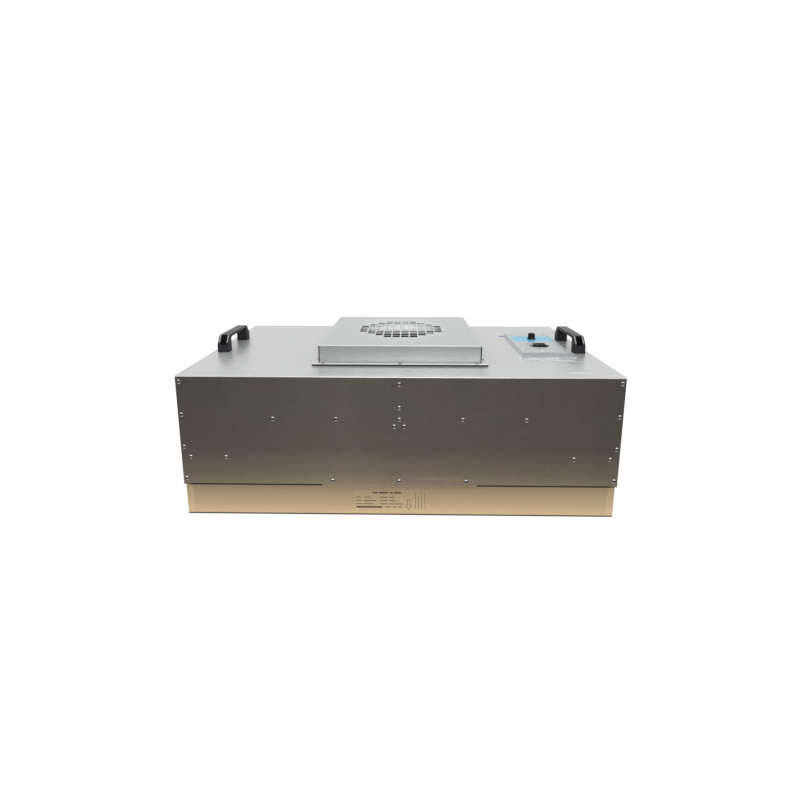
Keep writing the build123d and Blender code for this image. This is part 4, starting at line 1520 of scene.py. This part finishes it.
def rule_rows():
    """Short plain rules in rows and columns, with no lettering."""
    rows = [(-60.5, -49.0, 55.4, 3.4), (-46.0, -25.5, 55.4, 3.4)]
    rows += [(-22.0, -14.5, 55.4, 3.4), (-11.0, 4.6, 55.4, 3.4)]
    for level, spans in (
        (44.0, ((-97.7, -90.0), (-79.1, -63.9), (-44.3, -26.9), (-22.5, -11.6))),
        (35.8, ((-97.8, -86.9), (-80.3, -52.0), (-44.3, -25.8), (-21.5, -8.4))),
        (27.8, ((-97.9, -84.8), (-81.5, -58.6), (-44.4, -26.9), (-22.6, 9.0))),
        (20.2, ((-32.4, -19.3), (-15.0, -5.1), (-1.9, 6.9))),
    ):
        rows += [(left, right, level, 1.7) for left, right in spans]
    rows.append((-98.0, -39.0, 19.8, 3.8))
    outlines = [
        rectangle(left, right, level - tall / 2, level + tall / 2)
        for left, right, level, tall in rows
    ]
    columns = ((36.8, 14.8, 57.6), (43.8, 14.8, 49.4), (51.0, 14.9, 55.4), (58.0, 15.0, 56.6))
    for column, low, high in columns:
        outlines.append(rectangle(column - 0.4, column + 0.4, low, high))
    return outlines


def flow_arrow():
    """Outline of an arrow that points down, as strips."""
    shaft = [(18.4, 23.5), (18.4, 39.0), (24.4, 39.0), (24.4, 23.5)]
    head = [(28.0, 23.5), (21.4, 14.0), (14.8, 23.5)]
    corners = shaft[1:] + head + shaft[:1]
    return [strip(*ends, 0.45) for ends in zip(corners, corners[1:] + corners[:1])]


def crumpled_tape(left, right, front, back, seed):
    """A closed piece of clear tape that lies in small folds on the casing."""
    columns = int(right - left)
    rows = max(12, int(back - front))
    points, faces = [], []
    for layer in (0.0, 0.12):
        for row in range(rows + 1):
            for column in range(columns + 1):
                across, along = column / columns, row / rows
                edge = min(across, 1 - across, along, 1 - along)
                x = left + (right - left) * across
                y = front + (back - front) * along
                wander = noise.noise(Vector((x * 0.04, y * 0.04, seed)))
                fold = noise.noise(Vector((x * 0.07 + y * 0.03, y * 0.12, seed + 3.0)))
                fine = noise.noise(Vector((x * 0.3, y * 0.35, seed + 5.0)))
                rise = 0.2 + min(1.0, edge * 10) * (1.5 * abs(fold) + 0.4 * abs(fine))
                away = 1.0 - along
                points.append(
                    (
                        (x + 2.0 * wander) * MM,
                        (y + 9.0 * wander * away) * MM,
                        TOP + (rise + layer) * MM,
                    )
                )
    layer_size = (rows + 1) * (columns + 1)
    for row in range(rows):
        for column in range(columns):
            start = row * (columns + 1) + column
            quad = (start, start + 1, start + columns + 2, start + columns + 1)
            faces.append(tuple(reversed(quad)))
            faces.append(tuple(index + layer_size for index in quad))
    last = rows * (columns + 1)
    border = list(range(columns + 1))
    border += [row * (columns + 1) + columns for row in range(1, rows + 1)]
    border += [last + column for column in range(columns - 1, -1, -1)]
    border += [row * (columns + 1) for row in range(rows - 1, 0, -1)]
    for here, there in zip(border, border[1:] + border[:1]):
        faces.append((here, there, there + layer_size, here + layer_size))
    mesh = mesh_from(points, faces)
    mesh.shade_smooth()
    return mesh


def ribbon(path, width):
    """Outline of a thin ribbon along a path."""
    left, right = [], []
    for index, (x, y) in enumerate(path):
        before = path[max(index - 1, 0)]
        after = path[min(index + 1, len(path) - 1)]
        run = math.hypot(after[0] - before[0], after[1] - before[1])
        side_x, side_y = -(after[1] - before[1]) / run, (after[0] - before[0]) / run
        half = width / 2 * (0.35 + 0.65 * math.sin(math.pi * index / (len(path) - 1)))
        left.append((x + side_x * half, y + side_y * half))
        right.append((x - side_x * half, y - side_y * half))
    return left + right[::-1]


# Width and path, in millimetres, of the bright creases where the tape is doubled over.
CREASES = (
    (3.6, [(295.5, -99.0), (294.0, -122.0), (293.0, -146.0), (293.0, -171.0)]),
    (2.4, [(300.0, -106.0), (298.5, -124.0), (299.0, -145.0)]),
    (2.6, [(304.0, -137.0), (318.0, -144.0), (330.0, -133.0), (345.0, -140.0)]),
    (2.2, [(345.0, -150.0), (362.0, -140.0), (380.0, -147.0), (398.0, -152.0)]),
    (2.6, [(398.0, -152.0), (410.0, -146.0), (424.0, -156.0)]),
    (1.8, [(330.0, -112.0), (333.0, -124.0), (331.0, -136.0)]),
    (1.4, [(352.0, -128.0), (372.0, -124.0), (392.0, -129.0)]),
    (1.8, [(426.5, -56.0), (427.5, -84.0), (429.0, -116.0)]),
    (1.2, [(441.0, -54.0), (440.5, -82.0), (438.0, -112.0)]),
    (1.5, [(420.0, -121.0), (430.0, -124.0), (438.0, -119.0)]),
    (3.0, [(318.0, -123.0), (322.0, -131.0), (334.0, -128.0)]),
)


class FANUNIT_OT_labels(Operator):
    """Lay the labels, their plain rules, the stickers and the tape"""

    bl_idname = "fan_unit.labels"
    bl_label = "Labels and marks"

    def execute(self, context):
        lid, wall = LID_HIGH.z, -WALL_FACE
        show(control_label(), "control_label", "label_blue")
        scale = on_top(scale_marks(), lid + CONTROL_LABEL_HIGH, INK_THICKNESS)
        show(scale, "control_scale", "label_ink")
        label = [rounded(-102.5, 66.0, 6.0, 62.5, 2.0)]
        show(on_front(label, FILTER_FACE, LABEL_THICKNESS), "filter_label", "label_tan")
        rules = rule_rows() + flow_arrow()
        rules = on_front(rules, FILTER_FACE - LABEL_THICKNESS, INK_THICKNESS)
        show(rules, "filter_label_rules", "label_ink")
        violet = [rectangle(290.0, 309.8, 122.0, 137.0)]
        show(on_top(violet, TOP, LABEL_THICKNESS), "violet_sticker", "sticker_violet")
        torn = [(374.0, -256.0), (402.0, -256.5), (434.0, -255.5), (402.0, -250.5), (380.0, -249.0)]
        slivers = [torn, rectangle(458.0, 462.5, -223.0, -219.0)]
        show(on_top(slivers, TOP, TAPE_THICKNESS), "tape_slivers", "tape_white")
        slanted = [(359.8, -89.0), (362.6, -89.0), (371.2, -56.0), (368.6, -56.0)]
        show(on_top([slanted], lid, TAPE_THICKNESS), "lid_tape_sliver", "tape_white")
        dots = [(-407.0, 232.0), (-472.0, 121.0), (437.0, 186.0), (430.0, 303.0), (-401.0, 75.0)]
        specks = [[(x + u, z + v) for u, v in ring(1.1, 10)] for x, z in dots]
        show(on_front(specks, wall, MARK_THICKNESS), "wall_specks", "label_ink")
        scratches = [
            ribbon([(37.0, 91.0), (80.0, 90.4), (124.0, 89.6), (164.0, 88.6)], 1.5),
            ribbon([(36.0, 94.4), (75.0, 94.6), (110.0, 94.0), (141.0, 93.0)], 0.9),
        ]
        show(on_front(scratches, wall, MARK_THICKNESS), "wall_scratches", "label_tan")
        tape = crumpled_tape(293.0, 430.0, -160.0, -102.0, 1.0)
        show(tape, "clear_tape", "clear_film")
        corner = [(417.5, -97.6), (429.6, -97.6), (429.6, -52.0), (423.2, -52.0)]
        show(on_top([corner], lid, TAPE_THICKNESS), "lid_corner_tape", "clear_film")
        drop = [rectangle(417.5, 429.6, 330.4, 337.6)]
        show(on_front(drop, LID_LOW.y, TAPE_THICKNESS), "lid_drop_tape", "clear_film")
        side = crumpled_tape(431.0, 443.5, -122.0, -48.0, 9.0)
        show(side, "clear_side_tape", "clear_film")
        creases = [ribbon(route, width) for width, route in CREASES]
        show(on_top(creases, TOP + 0.02 * MM, 1.0 * MM), "tape_creases", "tape_white")
        return {"FINISHED"}


# --- Stage --------------------------------------------------------------------------


FLOOR_REACH = 6.0
FLOOR_LEVEL = -0.3 * MM
CAMERA_PLACE = (15.71 * MM, -1283.5 * MM, 634.25 * MM)
CAMERA_ANGLES = (-0.01435, 0.18853, -0.00091)


def camera_turn():
    """The camera's rotation, from its yaw, its pitch below level and its roll."""
    yaw, pitch, roll = CAMERA_ANGLES
    ahead = Vector(
        (
            math.sin(yaw) * math.cos(pitch),
            math.cos(yaw) * math.cos(pitch),
            -math.sin(pitch),
        )
    )
    level = Vector((math.cos(yaw), -math.sin(yaw), 0.0))
    down = ahead.cross(level)
    right = level * math.cos(roll) + down * math.sin(roll)
    below = down * math.cos(roll) - level * math.sin(roll)
    return Matrix((right, -below, -ahead)).transposed()


def seen_directly(tree):
    """1 for what the camera sees, straight, in a gloss or through clear film, and 0 else."""
    path = add_node(tree, "ShaderNodeLightPath")
    seen = maths(tree, "MAXIMUM", path.outputs["Is Camera Ray"], path.outputs["Is Glossy Ray"])
    return maths(tree, "MAXIMUM", seen, path.outputs["Is Transmission Ray"])


def floor_material():
    """White to the camera and to gloss, with the unit's soft shadow kept."""
    material = bpy.data.materials.new("floor_white")
    material.use_nodes = True
    tree = material.node_tree
    tree.nodes.remove(tree.nodes["Principled BSDF"])
    matt = add_node(tree, "ShaderNodeBsdfDiffuse", {"Color": grey(0.93)})
    faint = add_node(tree, "ShaderNodeBsdfDiffuse", {"Color": grey(0.3)})
    white = add_node(tree, "ShaderNodeEmission", {"Color": grey(1.0), "Strength": 0.82})
    seen_floor = add_node(tree, "ShaderNodeAddShader", {0: faint.outputs[0], 1: white.outputs[0]})
    shaders = {0: seen_directly(tree), 1: matt.outputs[0], 2: seen_floor.outputs[0]}
    mix = add_node(tree, "ShaderNodeMixShader", shaders)
    tree.links.new(mix.outputs[0], tree.nodes["Material Output"].inputs["Surface"])
    return material


def studio_world(strength):
    """Even light all round, which the camera sees as white."""
    world = bpy.data.worlds.new("studio")
    bpy.context.scene.world = world
    world.use_nodes = True
    tree = world.node_tree
    back = tree.nodes["Background"]
    back.inputs["Color"].default_value = grey(1.0)
    level = maths(tree, "MULTIPLY", seen_directly(tree), 1.0 - strength)
    level = maths(tree, "ADD", level, strength)
    tree.links.new(level, back.inputs["Strength"])


def aimed(name, lamp, place, aim):
    """A lamp in the scene that shines from its place to its aim."""
    holder = linked(name, lamp)
    holder.location = place
    direction = Vector(aim) - Vector(place)
    holder.rotation_euler = direction.to_track_quat("-Z", "Y").to_euler()
    return holder


def area_lamp(name, place, aim, size, power):
    """A soft rectangular lamp."""
    lamp = bpy.data.lights.new(name, "AREA")
    lamp.shape = "RECTANGLE"
    lamp.size, lamp.size_y = size
    lamp.energy = power
    aimed(name, lamp, place, aim)


def grille_lamp(power):
    """A flat narrow beam into the grille, from just above the camera."""
    lamp = bpy.data.lights.new("grille", "SPOT")
    lamp.energy = power
    lamp.spot_size = math.radians(11.0)
    lamp.spot_blend = 0.6
    lamp.shadow_soft_size = 0.02
    holder = aimed("grille", lamp, (0.016, -1.283, 0.66), (0.0, 0.02, 0.377))
    holder.scale = (1.0, 0.22, 1.0)


class FANUNIT_OT_stage(Operator):
    """Set the floor, the soft light and the camera"""

    bl_idname = "fan_unit.stage"
    bl_label = "Stage"

    def execute(self, context):
        stage = settings().stage
        scene = context.scene
        scene.view_settings.view_transform = "Standard"
        corners = rectangle(-FLOOR_REACH, FLOOR_REACH, -FLOOR_REACH, FLOOR_REACH)
        mesh = bpy.data.meshes.new("floor")
        mesh.from_pydata([(x, y, FLOOR_LEVEL) for x, y in corners], [], [(0, 1, 2, 3)])
        mesh.materials.append(floor_material())
        floor = linked("floor", mesh)
        studio_world(stage.sky)
        area_lamp("overhead", (-0.6, -0.4, 2.6), (0, 0, 0.3), (2.4, 1.8), stage.key_power)
        area_lamp("front", (0.2, -3.2, 1.4), (0, 0, 0.35), (1.6, 0.6), stage.fill_power)
        grille_lamp(stage.glint_power)
        lens = bpy.data.cameras.new("camera")
        lens.sensor_width = 36.0
        lens.lens = stage.lens
        lens.shift_y = stage.rise
        holder = linked("camera", lens)
        holder.matrix_world = Matrix.Translation(CAMERA_PLACE) @ camera_turn().to_4x4()
        scene.camera = holder
        return {"FINISHED"}


# --- Panel --------------------------------------------------------------------------


class FANUNIT_PT_sidebar(Panel):
    bl_idname = "FANUNIT_PT_sidebar"
    bl_label = "Fan Filter Unit"
    bl_space_type = "VIEW_3D"
    bl_region_type = "UI"
    bl_category = "Fan Unit"

    def draw(self, context):
        column = self.layout.column()
        for step in STEPS:
            column.operator(step.bl_idname)
        for group in (settings().finish, settings().screws, settings().guard, settings().stage):
            box = column.box()
            for name in group.bl_rna.properties.keys():
                if name not in ("rna_type", "name"):
                    box.prop(group, name)


STEPS = (
    FANUNIT_OT_finishes,
    FANUNIT_OT_screws,
    FANUNIT_OT_guard,
    FANUNIT_OT_mouldings,
    FANUNIT_OT_dial,
    FANUNIT_OT_labels,
    FANUNIT_OT_stage,
)
CLASSES = (
    FinishSettings,
    ScrewSettings,
    GuardSettings,
    StageSettings,
    FanUnitSettings,
    *STEPS,
    FANUNIT_PT_sidebar,
)


def register():
    for item in CLASSES:
        bpy.utils.register_class(item)
    bpy.types.Scene.fan_unit = PointerProperty(type=FanUnitSettings)


def unregister():
    del bpy.types.Scene.fan_unit
    for item in reversed(CLASSES):
        bpy.utils.unregister_class(item)


def main():
    register()
    bpy.ops.fan_unit.finishes()
    bpy.ops.fan_unit.screws()
    bpy.ops.fan_unit.guard()
    bpy.ops.fan_unit.mouldings()
    bpy.ops.fan_unit.dial()
    bpy.ops.fan_unit.labels()
    bpy.ops.fan_unit.stage()


if __name__ == "__main__":
    main()
